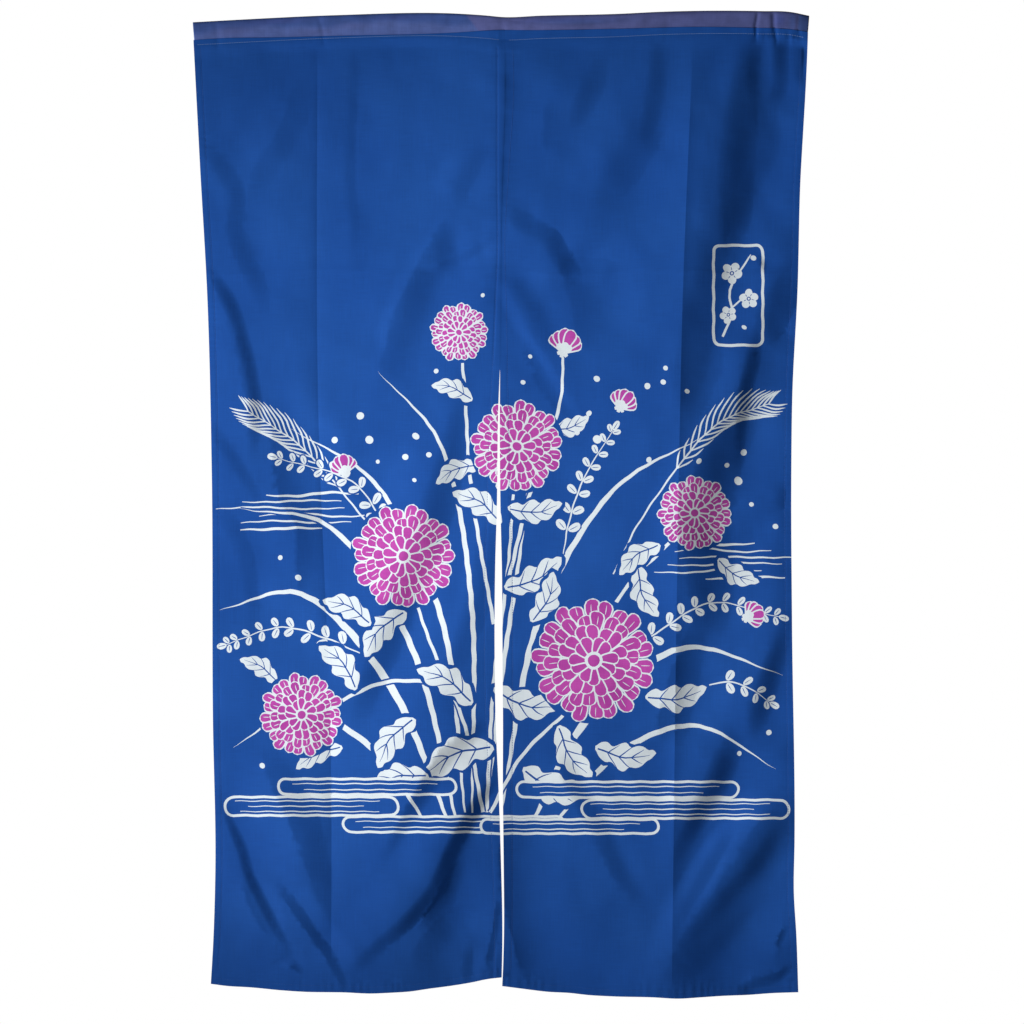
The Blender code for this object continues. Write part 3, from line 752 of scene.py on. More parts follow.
def cloth_forward(across, drop):
    """How far the hanging cloth stands forward of the pocket's plane, in centimetres."""
    strayed = tuple(place + off for place, off in zip((across, drop), stray(across, drop)))
    height = sum(fold_height(fold, *strayed) for fold in FOLDS.values())
    height = height + sum(crease_height(crease, across, drop) for crease in CREASES)
    height = height + sum(swell_height(swell, across, drop) for swell in SWELLS)
    level = bell(strayed[1] - LEVEL_CREASE_DROP, LEVEL_CREASE_WIDTH)
    height = height + LEVEL_CREASE_HEIGHT * level + ripple_height(across, drop)
    below = drop - top_edge_drop(across)
    height = height * ease(PINNED_BELOW, FREE_BELOW, below)
    over_tail = ease(POCKET_TAIL + 0.4, POCKET_TAIL, below)
    return height - np.minimum(height + HELD_BACK, 0.0) * over_tail


# The hems, the seam and the lap. A hem is a narrow raised strip with a line of small puckers.
# Above the slit the left cloth's hem laps over the right cloth, and the top of both cloths laps
# over the front of the rod pocket and is sewn through it.
CLOTH_THICKNESS = 0.06
HEM = 0.90
# The width of the hem beside the seam and the slit, as (drop, width).
SEAM_HEMS = [(0, 1.00), (10, 1.12), (22.5, 0.75), (31, 0.48), (40, 0.75), (50, 1.05), (140, 1.05)]
HEM_RISE = 0.010
HEM_FOLD = 0.10
STITCH_DENT = 0.016
SEAM_DENT = 0.024
STITCH_DENT_WIDTH = 0.15
SEAM_LAP = 0.50
SEAM_LAP_ENDS = (45.0, 49.5)
# How steeply the cloth falls back across the seam, as (drop, slope), and how far each way.
SEAM_FALLS = [
    (0, 0.085), (6, 0.110), (10, 0.190), (14, 0.145), (22, 0.165), (31, 0.110), (46, 0.06),
]
SEAM_FALL_LEFT = 0.35
SEAM_FALL_RIGHT = 0.40
SEAM_FALL_WIDER = 0.40
SEAM_FALL_ENDS = (6.0, 1.5)
SEAM_STEP = 0.004
SEAM_DIVE = 0.085
HALF_SEAM_GAP = 0.006
LAP_STAND = 0.095
# The puckers beside each line of stitches, as (depth, reach). Those of the pocket's line deepen
# towards its right end.
FOOT_PUCKERS = (0.018, 1.3)
SEAM_PUCKERS = (0.008, 1.1)
SIDE_PUCKERS = (0.012, 1.0)
POCKET_PUCKERS = (0.008, 0.9)
PUCKERS_DEEPEN = 0.020
# How far the right side's edge curls back at its top, and over what width.
CURL = 0.16
CURL_WIDTH = 0.9


def inner_edge(panel, drop):
    """The edge at the seam and the slit. The right cloth runs on under the left one's hem."""
    edge = smooth_line(panel.inner, drop) + panel.seam_side * HALF_SEAM_GAP
    if panel.seam_side > 0:
        edge = edge - SEAM_LAP * (1 - ease(*SEAM_LAP_ENDS, drop))
    return edge


def from_edges(panel, across, drop):
    """The distances from the seam side, the outer side and the foot, each with its hem's width."""
    return (
        (panel.seam_side * (across - smooth_line(panel.inner, drop)), smooth_line(SEAM_HEMS, drop)),
        (panel.seam_side * (smooth_line(panel.outer, drop) - across), HEM),
        (smooth_line(panel.hem, across) - drop, HEM),
    )


def pucker(along, away, depth, reach):
    """Uneven small pleats that cross a line of stitches and die away beside it."""
    wave = np.sin(5.6 * along + 1.7 * np.sin(0.43 * along) + 1.1 * np.sin(1.31 * along))
    uneven = 0.45 + 0.35 * np.sin(0.27 * along + 1.0) + 0.20 * np.sin(0.91 * along + 2.0)
    return depth * wave * uneven * bell(away, reach)


def seam_height(panel, drop, from_seam):
    """The fall across the seam. The right cloth also dips behind the left one's hem."""
    uneven = 1 + 0.2 * np.sin(0.9 * drop) + 0.15 * np.sin(2.3 * drop)
    slope = smooth_line(SEAM_FALLS, drop) * uneven
    reach = SEAM_FALL_RIGHT + SEAM_FALL_WIDER * ease(20.0, 12.0, drop)
    off = panel.seam_side * from_seam
    before = SEAM_FALL_LEFT * np.exp(np.minimum(off, 0.0) / SEAM_FALL_LEFT)
    after = reach * (1 - np.exp(-np.maximum(off, 0.0) / reach))
    fall = (SEAM_FALL_LEFT + reach) / 2 - before - after
    height = slope * fall * ease(*SEAM_FALL_ENDS, np.abs(off))
    if panel.seam_side > 0:
        height = height - SEAM_STEP * ease(*SEAM_FALL_ENDS, off)
        height = height - SEAM_DIVE * ease(0.0, -0.14, off)
    else:
        hem = smooth_line(SEAM_HEMS, drop)
        height = height - SEAM_DENT * bell(from_seam - hem, STITCH_DENT_WIDTH)
    return height * (1 - ease(*SEAM_LAP_ENDS, drop))


def sewn_height(panel, across, drop):
    """What hems, stitches and the seam add to the cloth's own height."""
    edges = from_edges(panel, across, drop)
    (from_seam, seam_hem), (from_side, _), (from_foot, _) = edges
    height = 0.0
    shown = ease(*SEAM_LAP_ENDS, drop)
    for (away, depth), share in zip(edges, (shown, 1.0, 1.0)):
        height = height + share * HEM_RISE * ease(depth + 0.18, depth - 0.05, away)
        height = height - share * STITCH_DENT * bell(away - depth, STITCH_DENT_WIDTH)
    height = height + pucker(across, from_foot - HEM, *FOOT_PUCKERS)
    height = height + pucker(drop, from_seam - seam_hem, *SEAM_PUCKERS)
    height = height + pucker(drop + 31.0, from_side - HEM, *SIDE_PUCKERS)
    curl = ease(CURL_WIDTH, 0.0, from_side) * ease(9.0, 5.0, drop) * (across > 0)
    height = height - CURL * curl
    below = drop - top_edge_drop(across)
    lap = pocket_forward(across, np.maximum(below, 0.0)) + LAP_STAND
    height = height * ease(POCKET_STITCH, POCKET_TAIL + 0.6, below)
    height = height + lap * ease(POCKET_TAIL + 1.8, POCKET_TAIL, below)
    height = height - STITCH_DENT * bell(below - POCKET_STITCH, STITCH_DENT_WIDTH)
    depth, reach = POCKET_PUCKERS
    depth = depth + PUCKERS_DEEPEN * ease(28.0, 40.0, across)
    height = height + pucker(across + 7.0, below - POCKET_STITCH - 0.5, depth, reach)
    return height + seam_height(panel, drop, from_seam)


def panel_forward(panel, across, drop):
    return cloth_forward(across, drop) + sewn_height(panel, across, drop)


# Where the lines of stitches run, and how far from the corners they start.
SIDE_STITCHES = (4.2, 132.0)
FOOT_CORNERS = 133.0
FROM_SIDE_CORNER = 0.3
FROM_POCKET_END = 0.5


def pocket_line(panel):
    ends = sorted((panel.inner[0][1], panel.outer[0][1]))
    across = np.linspace(ends[0] + FROM_POCKET_END, ends[1] - FROM_POCKET_END, 200)
    return np.column_stack([across, top_edge_drop(across) + POCKET_STITCH])


def hem_lines(panel):
    side = panel.seam_side
    down = np.linspace(*SIDE_STITCHES, 400)
    inner = smooth_line(panel.inner, down) + side * smooth_line(SEAM_HEMS, down)
    outer = smooth_line(panel.outer, down) - side * HEM
    ends = [
        smooth_line(edge, FOOT_CORNERS) + way * FROM_SIDE_CORNER
        for edge, way in ((panel.inner, side), (panel.outer, -side))
    ]
    across = np.linspace(min(ends), max(ends), 200)
    foot = smooth_line(panel.hem, across) - HEM
    return [np.column_stack(line) for line in ((inner, down), (outer, down), (across, foot))]


def points_beside(line, gaps):
    """Evenly spaced points beside a line, at the given distances from it."""
    passed = passed_along(line)
    at = np.arange(0.0, passed[-1], RIDGE_STEP)
    row = np.column_stack([np.interp(at, passed, axis) for axis in line.T])
    aside = sideways(row)
    return np.vstack([row + gap * aside for gap in gaps])


def sewn_points(panel):
    """Points beside the stitches, the seam and the storage creases, where the cloth bends most."""
    spots = [points_beside(line, LINE_GAPS) for line in hem_lines(panel) + [pocket_line(panel)]]
    down = np.linspace(1.8, SEAM_LAP_ENDS[1], 150)
    seam = np.column_stack([smooth_line(panel.inner, down), down])
    spots.append(points_beside(seam, [panel.seam_side * gap for gap in SEAM_GAPS]))
    for crease in CREASES:
        down = np.linspace(crease.top, crease.bottom, 150)
        line = np.column_stack([smooth_line(crease.line, down), down])
        spots.append(points_beside(line, CREASE_GAPS))
    return np.vstack(spots)


# The print, resist-dyed in white and magenta: a clump of chrysanthemums among grasses and bush
# clover, with bars of mist at its foot, and a small framed sprig of plum. It is drawn as closed
# outlines in painter's order, and its lines are left in white or in the cloth's own blue.
CLOTH, WHITE, MAGENTA = range(3)
OUTLINES = []
HAND = 0.05
LONGEST_EDGE = 0.85


def ink(colour, outline):
    """Adds an outline in short edges, unsteady by a hair as a hand-cut stencil is."""
    corners = np.array(outline, dtype=float)
    points = []
    for start, end in zip(corners, np.roll(corners, -1, axis=0)):
        parts = max(1, math.ceil(np.linalg.norm(end - start) / LONGEST_EDGE))
        points += [start + (end - start) * n / parts for n in range(parts)]
    across, drop = np.array(points).T
    unsteady = (np.sin(2.1 * drop + 0.7 * across), np.sin(1.9 * across - 0.6 * drop))
    OUTLINES.append((colour, np.array(points) + HAND * np.column_stack(unsteady)))


def turned(points, turn, place):
    cos, sin = math.cos(turn), math.sin(turn)
    return np.asarray(points) @ np.array([[cos, sin], [-sin, cos]]) + place


def towards(aim):
    return np.array([math.cos(aim), math.sin(aim)])


def brush(colour, places, width, start=0.25, end=0.1, fullest=0.5, steps=14):
    """A brush stroke. start and end are the shares of its width that are left at its ends."""
    path = smooth_path(places, steps)
    passed = np.linspace(0.0, 1.0, len(path))
    press = np.where(
        passed < fullest,
        start + (1 - start) * np.sin(passed / fullest * np.pi / 2),
        end + (1 - end) * np.cos((passed - fullest) / (1 - fullest) * np.pi / 2),
    )
    off = sideways(path) * (press * width / 2)[:, None]
    ink(colour, np.vstack([path - off, (path + off)[::-1]]))


def oval(colour, centre, long, wide, turn=0.0, points=14, blunt=0.0):
    angle = np.arange(points) * 2 * np.pi / points
    y = np.sin(angle) * wide / 2 * (1 - blunt * np.cos(angle))
    ink(colour, turned(np.column_stack([np.cos(angle) * long / 2, y]), turn, centre))


PETAL_SHARES = np.array([0.0, 0.25, 0.5, 0.72, 0.88, 0.97, 1.0])
PETAL_WIDTHS = np.array([0.42, 0.66, 0.88, 1.0, 0.86, 0.46, 0.0])


def petal(colour, centre, turn, inner, outer, wide, grow=0.0, sway=0.0):
    """A round-ended petal between two radii about a flower's centre."""
    reach = inner + (outer - inner) * PETAL_SHARES
    half = wide / 2 * PETAL_WIDTHS + grow
    half[-1] = 0.0
    reach[0] -= grow
    reach[-1] += grow
    lean = sway * PETAL_SHARES**2
    upper = np.column_stack([reach, lean + half])
    lower = np.column_stack([reach, lean - half])[:-1][::-1]
    ink(colour, turned(np.vstack([upper, lower]), turn, centre))


PETAL_LINE = 0.22
PETAL_ROOM = 0.86
RESIST_GAP = 0.45
PetalRing = namedtuple("PetalRing", "outer inner count")
PETAL_RINGS = (
    PetalRing(1.00, 0.62, 22),
    PetalRing(0.80, 0.44, 18),
    PetalRing(0.60, 0.26, 15),
    PetalRing(0.40, 0.10, 11),
)


def dyed_petal(centre, turn, inner, outer, wide, sway=0.0):
    """A magenta petal with a white edge."""
    for colour, grow in ((WHITE, PETAL_LINE / 2), (MAGENTA, -PETAL_LINE / 2)):
        petal(colour, centre, turn, inner, outer, wide, grow, sway)


def chrysanthemum(across, drop, radius, turn):
    """Four rings of petals, the outer ring first. A line runs down each of the outer petals."""
    centre = np.array([across, drop])
    clear = 2 * (radius + RESIST_GAP)
    oval(CLOTH, centre, clear, clear, 0.0, 28)
    for layer, ring in enumerate(PETAL_RINGS):
        wide = 2 * np.pi * radius * ring.outer / ring.count * PETAL_ROOM
        for n in range(ring.count):
            aim = turn + (n + layer % 2 / 2) * 2 * np.pi / ring.count
            outer = radius * ring.outer * (1 + 0.05 * math.sin(2.4 * n + layer))
            dyed_petal(centre, aim, radius * ring.inner, outer, wide, 0.03 * radius * (-1) ** n)
            if layer < 2:
                way = towards(aim) * radius
                depth = ring.outer - ring.inner
                ends = [centre + way * (ring.inner + depth * share) for share in (0.45, 0.84)]
                brush(WHITE, ends, PETAL_LINE / 2, 0.5, 0.3, 0.4, 3)
    for colour, size in ((WHITE, 0.30), (MAGENTA, 0.20)):
        oval(colour, centre, radius * size, radius * size, 0.0, 14)


def bud(across, drop, radius, turn):
    """A closed flower from the side: upright magenta petals in a white cup."""
    for spread in (-0.9, 0.9, -0.55, 0.55, -0.2, 0.2):
        outer = radius * (1.25 - 0.25 * abs(spread))
        dyed_petal((across, drop), turn + spread, 0.1 * radius, outer, 0.62 * radius)
    for spread in (-0.9, 0.0, 0.9):
        petal(WHITE, (across, drop), turn + spread, -0.35 * radius, 0.5 * radius, 0.42 * radius)


# A leaf's half width along its length, and its veins as (root, tip, how far aside).
LEAF_EDGE = (
    (0.00, 0.02), (0.08, 0.12), (0.20, 0.18), (0.27, 0.12), (0.42, 0.23), (0.52, 0.25),
    (0.58, 0.15), (0.70, 0.20), (0.80, 0.17), (0.86, 0.08), (0.94, 0.08), (1.00, 0.00),
)
LEAF_VEINS = ((0.22, 0.40, 0.20), (0.40, 0.66, 0.20), (0.60, 0.80, 0.12))
LEAF_BEND = 0.12
LEAF_CLEAR = 0.42
MIDRIB_WIDTH = 0.026
VEIN_WIDTH = 0.018


def leaf(across, drop, turn, length):
    """A lobed white leaf, clear of what lies behind it, with veins in the cloth's blue."""
    base = np.array([across, drop])
    share = np.linspace(0.0, 1.0, 33)
    half = np.interp(share, *np.array(LEAF_EDGE).T)
    half = np.convolve(np.pad(half, 1, mode="edge"), (0.25, 0.5, 0.25), mode="valid")
    half[-1] = 0.0
    middle = LEAF_BEND * np.sin(share * np.pi)
    upper = np.column_stack([share, middle - half])
    lower = np.column_stack([share, middle + 0.92 * half])[::-1][1:]

    def on_leaf(points):
        return turned(np.asarray(points) * length, turn, base)

    def from_midrib(share, aside):
        return (share, LEAF_BEND * math.sin(share * math.pi) + aside)

    gap = LEAF_CLEAR / length
    along = share[::2] * (1 + 2 * gap) - gap
    clear = [np.column_stack([along, middle[::2] + side * (half[::2] + gap)]) for side in (-1, 1)]
    ink(CLOTH, on_leaf(np.vstack([clear[0], clear[1][::-1]])))
    ink(WHITE, on_leaf(np.vstack([upper, lower])))
    midrib = on_leaf([from_midrib(share, 0.0) for share in (0.04, 0.5, 0.9)])
    brush(CLOTH, midrib, MIDRIB_WIDTH * length, 0.9, 0.2, 0.2, 10)
    for root, tip, aside in LEAF_VEINS:
        for side in (-1, 1):
            bend = from_midrib((root + tip) / 2, 0.55 * side * aside)
            vein = on_leaf([from_midrib(root, 0.0), bend, from_midrib(tip, side * aside)])
            brush(CLOTH, vein, VEIN_WIDTH * length, 0.9, 0.2, 0.2, 5)


def blade(places, width):
    """A blade of grass, with a line of blue left about it."""
    brush(CLOTH, places, width + 0.5, 0.5, 0.3, 0.35, 22)
    brush(WHITE, places, width, 0.35, 0.02, 0.35, 22)


def stem(places):
    brush(CLOTH, places, 0.95, 1.0, 0.7, 0.2, 24)
    brush(WHITE, places, 0.50, 1.0, 0.7, 0.2, 24)


PLUME_STEPS = 60
PLUME_STROKES = 16
PLUME_STROKE = 2.75


def plume(places):
    """A grass plume: a nodding stem with fine strokes on both sides of its tip."""
    brush(WHITE, places, 0.24, 0.8, 0.5, 0.3, 22)
    path = smooth_path(places, PLUME_STEPS)
    for n in range(PLUME_STROKES):
        root, before = path[PLUME_STEPS - 2 * n], path[PLUME_STEPS - 2 * n - 1]
        run = (root - before) / np.linalg.norm(root - before)
        length = PLUME_STROKE * (1 + math.sin(n / (PLUME_STROKES - 1) * math.pi))
        for side in (-1, 1):
            aside = np.array([-run[1], run[0]]) * side * length
            bend = root + run * length * 0.45 + aside * 0.27
            tip = root + run * length * 0.85 + aside * 0.38
            brush(WHITE, [root, bend, tip], 0.25, 0.6, 0.2, 0.5, 6)


CLOVER_STEPS = 40
CLOVER_SPACING = 2.1
CLOVER_LEAF = np.array([1.50, 0.95])
CLOVER_CLEAR = 0.45


def clover(places):
    """A spray of bush clover: an arching stem with pairs of small oval leaves."""
    path = smooth_path(places, CLOVER_STEPS)
    passed = passed_along(path)
    tip = path[-1] - path[-2]
    leaves = [(path[-1] + 0.6 * tip / np.linalg.norm(tip), math.atan2(tip[1], tip[0]), 0.95)]
    at = 1.5 * CLOVER_SPACING
    while at < passed[-1] - 0.4:
        k = int(np.searchsorted(passed, at))
        run = path[min(k + 1, CLOVER_STEPS)] - path[k - 1]
        grow = 1.32 - 0.58 * at / passed[-1]
        for side in (-1, 1):
            aim = math.atan2(run[1], run[0]) + side * (0.95 + 0.12 * math.sin(at))
            leaves.append((path[k] + 0.95 * (towards(aim) * grow), aim, grow))
        at += CLOVER_SPACING * grow
    for centre, aim, grow in leaves:
        oval(CLOTH, centre, *(CLOVER_LEAF * grow + CLOVER_CLEAR), aim, 9)
    brush(CLOTH, places, 0.70, 0.8, 0.6, 0.4, 20)
    brush(WHITE, places, 0.22, 0.6, 0.4, 0.4, 20)
    for centre, aim, grow in leaves:
        way = towards(aim) * grow
        oval(WHITE, centre, *(CLOVER_LEAF * grow), aim, 12, -0.15)
        brush(CLOTH, [centre - 0.5 * way, centre + 0.45 * way], 0.10, 0.8, 0.3, 0.3, 3)


MIST_SPACING = 0.95


def mist_lines(left, drop, length, rows, start):
    """A bank of mist: long level lines, longest in the middle and shifted to either side."""
    for row in range(rows):
        share = 1 - 0.13 * abs(row - (rows - 1) / 2) - 0.08 * (row % 2)
        shift = 0.14 * math.sin(1.9 * row + start) + 0.05 * (row % 2)
        begin = left + length * (0.5 - share / 2 + shift)
        end = begin + length * share
        level = drop + MIST_SPACING * row
        sag = 0.25 * math.sin(start + row)
        third = (end - begin) / 3
        places = [
            (begin, level + 0.15), (begin + third, level + sag),
            (end - third, level - sag), (end, level),
        ]
        width = 0.39 if row in (0, rows - 1) else 0.26
        brush(WHITE, places, width, 0.35, 0.35, 0.5, 24)


def capsule(colour, left, right, top, bottom):
    radius = (bottom - top) / 2
    turn = np.radians(np.arange(0, 181, 18))
    right_end = np.column_stack([right - radius + radius * np.sin(turn), -radius * np.cos(turn)])
    left_end = np.column_stack([left + radius - radius * np.sin(turn), radius * np.cos(turn)])
    ink(colour, np.vstack([right_end, left_end]) + (0.0, (top + bottom) / 2))


MIST_LINE = 0.36


def mist_bar(left, right, top, height, lines):
    """A bar of mist in front of the clump: a long white outline with fine lines in it."""
    bottom = top + height
    capsule(WHITE, left, right, top, bottom)
    capsule(CLOTH, left + MIST_LINE, right - MIST_LINE, top + MIST_LINE, bottom - MIST_LINE)
    for n in range(lines):
        level = top + height * (n + 1) / (lines + 1)
        begin = left + 1.9 + 1.4 * (n % 2) + 0.5 * math.sin(left + n)
        end = right - 2.8 - 2.2 * (n % 2)
        brush(WHITE, [(begin, level), ((begin + end) / 2, level), (end, level)], 0.17, 0.5, 0.5)


# A plum blossom's ovals, as (colour, count, how far out, long, wide, turned on by, corners).
PLUM_OVALS = (
    (WHITE, 5, 0.58, 0.86, 0.80, 0.0, 16), (CLOTH, 1, 0.0, 0.42, 0.42, 0.0, 12),
    (CLOTH, 5, 0.42, 0.30, 0.07, 0.5, 8), (WHITE, 1, 0.0, 0.22, 0.22, 0.0, 10),
)


def plum_blossom(across, drop, radius, turn):
    for colour, count, out, long, wide, on, points in PLUM_OVALS:
        for n in range(count):
            aim = turn + (n + on) * 2 * np.pi / 5
            centre = (across, drop) + out * (towards(aim) * radius)
            oval(colour, centre, long * radius, wide * radius, aim, points)


def frame_line(colour, left, right, top, bottom, corner):
    turn = np.radians(np.arange(0, 91, 15))
    quarter = np.column_stack([np.sin(turn), -np.cos(turn)]) * corner
    inset = [
        (right - corner, top + corner), (right - corner, bottom - corner),
        (left + corner, bottom - corner), (left + corner, top + corner),
    ]
    ink(colour, np.vstack([turned(quarter, n * np.pi / 2, place) for n, place in enumerate(inset)]))


mist_lines(-38.2, 66.0, 19.0, 6, 1.7)
mist_lines(21.5, 72.8, 18.5, 6, 4.0)

for places, width in (
    ([(-7, 112), (-15, 93), (-27, 80), (-39, 82)], 1.00),
    ([(-6, 112), (-12, 88), (-23, 71), (-36, 68)], 0.85),
    ([(-5, 110), (-8, 84), (-17, 65), (-29, 57)], 0.75),
    ([(-4, 110), (-4, 82), (-8, 60), (-17, 49)], 0.70),
    ([(0, 110), (5, 84), (15, 66), (28, 58)], 0.85),
    ([(4, 112), (12, 97), (25, 87.3), (39, 91)], 1.00),
    ([(7, 112), (16, 102), (27, 98), (38, 104)], 0.80),
    ([(-10, 112), (-18, 101), (-28, 96), (-37, 101)], 0.80),
    ([(-2, 110), (0, 92), (2.5, 75), (4, 62)], 0.65),
):
    blade(places, width)

plume([(-13.5, 77), (-18.5, 70), (-27, 60), (-35, 54.5)])
plume([(15.5, 77), (20, 68.5), (29, 57), (37, 53.5)])

for places in (
    [(-18.5, 88.5), (-24, 86.0), (-30.5, 84.4), (-38, 86.8)],
    [(-13.5, 74.6), (-16.5, 69.5), (-21, 64), (-31, 61)],
    [(13.2, 89.5), (21, 85.5), (29, 81), (38.5, 83)],
    [(8.6, 74.4), (9.5, 69.4), (11.6, 63.5), (15.6, 57.0)],
    [(27.9, 92.7), (30.5, 92.0), (33.5, 92.4), (37.3, 94.8)],
):
    clover(places)

for places in (
    [(-2, 110), (-1, 92), (1, 76), (2, 60)],
    [(-2.5, 110), (-5, 98), (-10, 86), (-13.3, 76)],
    [(-1.5, 110), (3, 102), (9, 96), (12.6, 90)],
    [(14, 84), (18, 78), (22, 74), (26, 70)],
    [(-1, 84), (-4, 66), (-5, 52), (-5.6, 45)],
    [(-8, 92), (-16, 92), (-23, 95), (-27, 97)],
    [(1, 78), (4, 66), (8, 54), (8.6, 47)],
):
    stem(places)

for across, drop, turn, length in (
    (-1.0, 93.0, 0.25, 9.5), (0.5, 79.0, -0.50, 9.0), (-1.0, 101.0, 2.75, 10.5),
    (-4.0, 95.0, 3.70, 9.0), (3.0, 104.0, 0.35, 10.0),
    (8.0, 98.0, 1.00, 8.5), (0.0, 70.0, 3.70, 8.0), (-3.0, 62.0, 2.75, 6.5),
    (19.0, 76.0, 1.20, 7.5), (-13.2, 82.2, 2.30, 8.5),
    (-20.0, 93.0, 4.00, 8.0), (4.2, 83.6, -1.15, 7.5), (-10.0, 105.0, 2.90, 8.5),
    (22.0, 73.0, 2.50, 7.0), (1.0, 68.0, -0.10, 7.5), (-12.0, 97.0, 2.20, 8.5),
    (-18.0, 84.0, 3.60, 7.5), (20.0, 94.0, -0.15, 8.5), (-4.0, 53.0, 3.50, 6.0),
    (6.5, 57.0, -0.30, 6.0), (30.0, 75.0, 0.50, 6.5), (-31.0, 92.0, 3.70, 6.0),
    (13.0, 101.0, 0.10, 8.5), (-22.0, 101.0, 2.70, 7.0),
):
    leaf(across, drop, turn, length)

for across, drop, radius, turn in (
    (12.8, 89.0, 8.3, 0.1), (-13.5, 74.6, 7.0, 0.3), (2.2, 59.4, 6.2, 0.2),
    (26.8, 68.6, 5.0, 0.0), (-27.6, 96.5, 5.6, 0.5), (-5.8, 43.6, 3.9, 0.2),
):
    chrysanthemum(across, drop, radius, turn)
for across, drop, radius, turn in (
    (8.6, 46.2, 2.6, -1.3), (16.5, 54.0, 2.2, -1.1),
    (-21.5, 63.0, 2.1, -1.9), (34.0, 83.0, 2.1, -0.4),
):
    bud(across, drop, radius, turn)

for left, right, top, height, lines in (
    (-31.0, -6.0, 105.2, 2.5, 2), (-38.4, -14.0, 107.7, 2.9, 3), (-22.0, 9.0, 110.4, 2.5, 2),
    (2.0, 33.0, 105.6, 2.5, 2), (11.0, 40.0, 108.1, 2.9, 3), (-3.0, 22.0, 110.8, 2.3, 2),
):
    mist_bar(left, right, top, height, lines)

# Drops of dew, as (across, drop, radius).
for across, drop, radius in (
    (-23.0, 58.5, 0.45), (-19.5, 55.2, 0.55), (-18.2, 58.5, 0.60), (-12.0, 64.0, 0.30),
    (-13.2, 60.8, 0.45), (-11.8, 58.0, 0.50), (-10.0, 60.5, 0.40), (-17.0, 61.5, 0.30),
    (13.2, 50.0, 0.45), (12.2, 54.8, 0.40), (10.5, 57.5, 0.40), (13.3, 58.4, 0.60),
    (20.5, 61.2, 0.40), (20.2, 51.0, 0.45), (22.4, 50.5, 0.40), (22.8, 48.5, 0.35),
    (25.7, 51.8, 0.35), (31.2, 62.0, 0.35), (32.8, 64.2, 0.60), (33.6, 60.2, 0.45),
    (27.4, 61.4, 0.40), (34.6, 67.4, 0.35), (-9.0, 49.0, 0.35), (3.0, 50.5, 0.35),
    (4.0, 47.0, 0.30), (-2.5, 38.5, 0.30), (-30.5, 74.8, 0.35), (-28.0, 77.5, 0.45),
    (38.0, 70.5, 0.40), (-33.0, 103.5, 0.40), (37.0, 99.0, 0.40), (33.0, 101.8, 0.35),
):
    oval(WHITE, (across, drop), 2.0 * radius, 1.85 * radius, across)

frame_line(WHITE, 29.2, 36.4, 31.4, 45.6, 1.1)
frame_line(CLOTH, 29.6, 36.0, 31.8, 45.2, 0.7)
branch = [(30.6, 44.2), (32.0, 41.0), (31.6, 37.8), (33.8, 34.0), (34.6, 32.8)]
brush(WHITE, branch, 0.34, 0.9, 0.4, 0.3)
brush(WHITE, [(32.0, 40.2), (33.6, 38.8), (35.0, 38.6)], 0.24, 0.8, 0.4, 0.3, 8)
for across, drop, radius, turn in (
    (31.9, 35.4, 1.5, 0.2), (34.3, 39.0, 1.35, 0.9), (31.4, 41.2, 1.2, 0.5),
):
    plum_blossom(across, drop, radius, turn)
oval(WHITE, (34.9, 33.3), 0.8, 0.7, 0.4, 12)
oval(WHITE, (33.6, 42.9), 0.7, 0.6, 0.4, 12)


# The dyes. They are a little uneven, and on the back the print shows through dull and pale.
BLUE = (0.0080, 0.0770, 0.3620)
BLUE_WORN = (0.0110, 0.0890, 0.3920)
CLOTH_MATERIALS = [
    cloth_material("blue_cloth", BLUE, BLUE_WORN, 0.16, 0.78),
    cloth_material("white_print", (0.85, 0.93, 0.98), (0.80, 0.89, 0.95), 0.03, 0.82, 0.05),
    cloth_material("magenta_print", (0.58, 0.082, 0.46), (0.46, 0.057, 0.38), 0.035, 0.82),
    cloth_material("blue_cloth_back", (0.013, 0.082, 0.345), (0.018, 0.095, 0.370), 0.16, 0.82),
    cloth_material("white_print_back", (0.085, 0.190, 0.470), (0.060, 0.155, 0.440), 0.03, 0.85),
    cloth_material("magenta_print_back", (0.080, 0.070, 0.340), (0.055, 0.065, 0.320), 0.035, 0.85),
]

# Each cloth is cut to its outline and its print, laid on its folds and hems, and given its
# thickness, with the turned hem as a thicker band on the back.
EDGE_STEP = 0.35
FINE = 0.35
FINEST_BEND = 0.17
EDGE_CLEAR = 0.16
LINE_EDGE_CLEAR = 0.05
LINE_CLEAR = 0.22
SLOPE_STEP = 0.02
CAMERA_AWAY, CAMERA_ACROSS, CAMERA_DROP = 334.4, 1.52, 68.46


def cloth_outline(panel):
    """The cut edge: along the lap, down the side, along the foot and up the seam."""

    def outer(drop):
        return smooth_line(panel.outer, drop)

    def inner(drop):
        return inner_edge(panel, drop)

    def corner(line, edge, drop):
        for _ in range(6):
            across = edge(drop)
            drop = smooth_line(line, across)
        return across, drop

    top_in, top_out = (corner(LAP_LINE, edge, LAP_LINE[-1][1]) for edge in (inner, outer))
    foot_in, foot_out = (corner(panel.hem, edge, panel.hem[0][1]) for edge in (inner, outer))
    down = np.arange(0.0, 1.0, EDGE_STEP / SIDE_STITCHES[1])
    steps = round(abs(top_out[0] - top_in[0]) / EDGE_STEP)
    over = np.linspace(top_in[0], top_out[0], steps, endpoint=False)
    back = np.linspace(foot_out[0], foot_in[0], steps, endpoint=False)
    fall = top_out[1] + (foot_out[1] - top_out[1]) * down
    climb = foot_in[1] + (top_in[1] - foot_in[1]) * down
    return np.vstack([
        np.column_stack([over, smooth_line(LAP_LINE, over)]),
        np.column_stack([outer(fall), fall]),
        np.column_stack([back, smooth_line(panel.hem, back)]),
        np.column_stack([inner(climb), climb]),
    ])


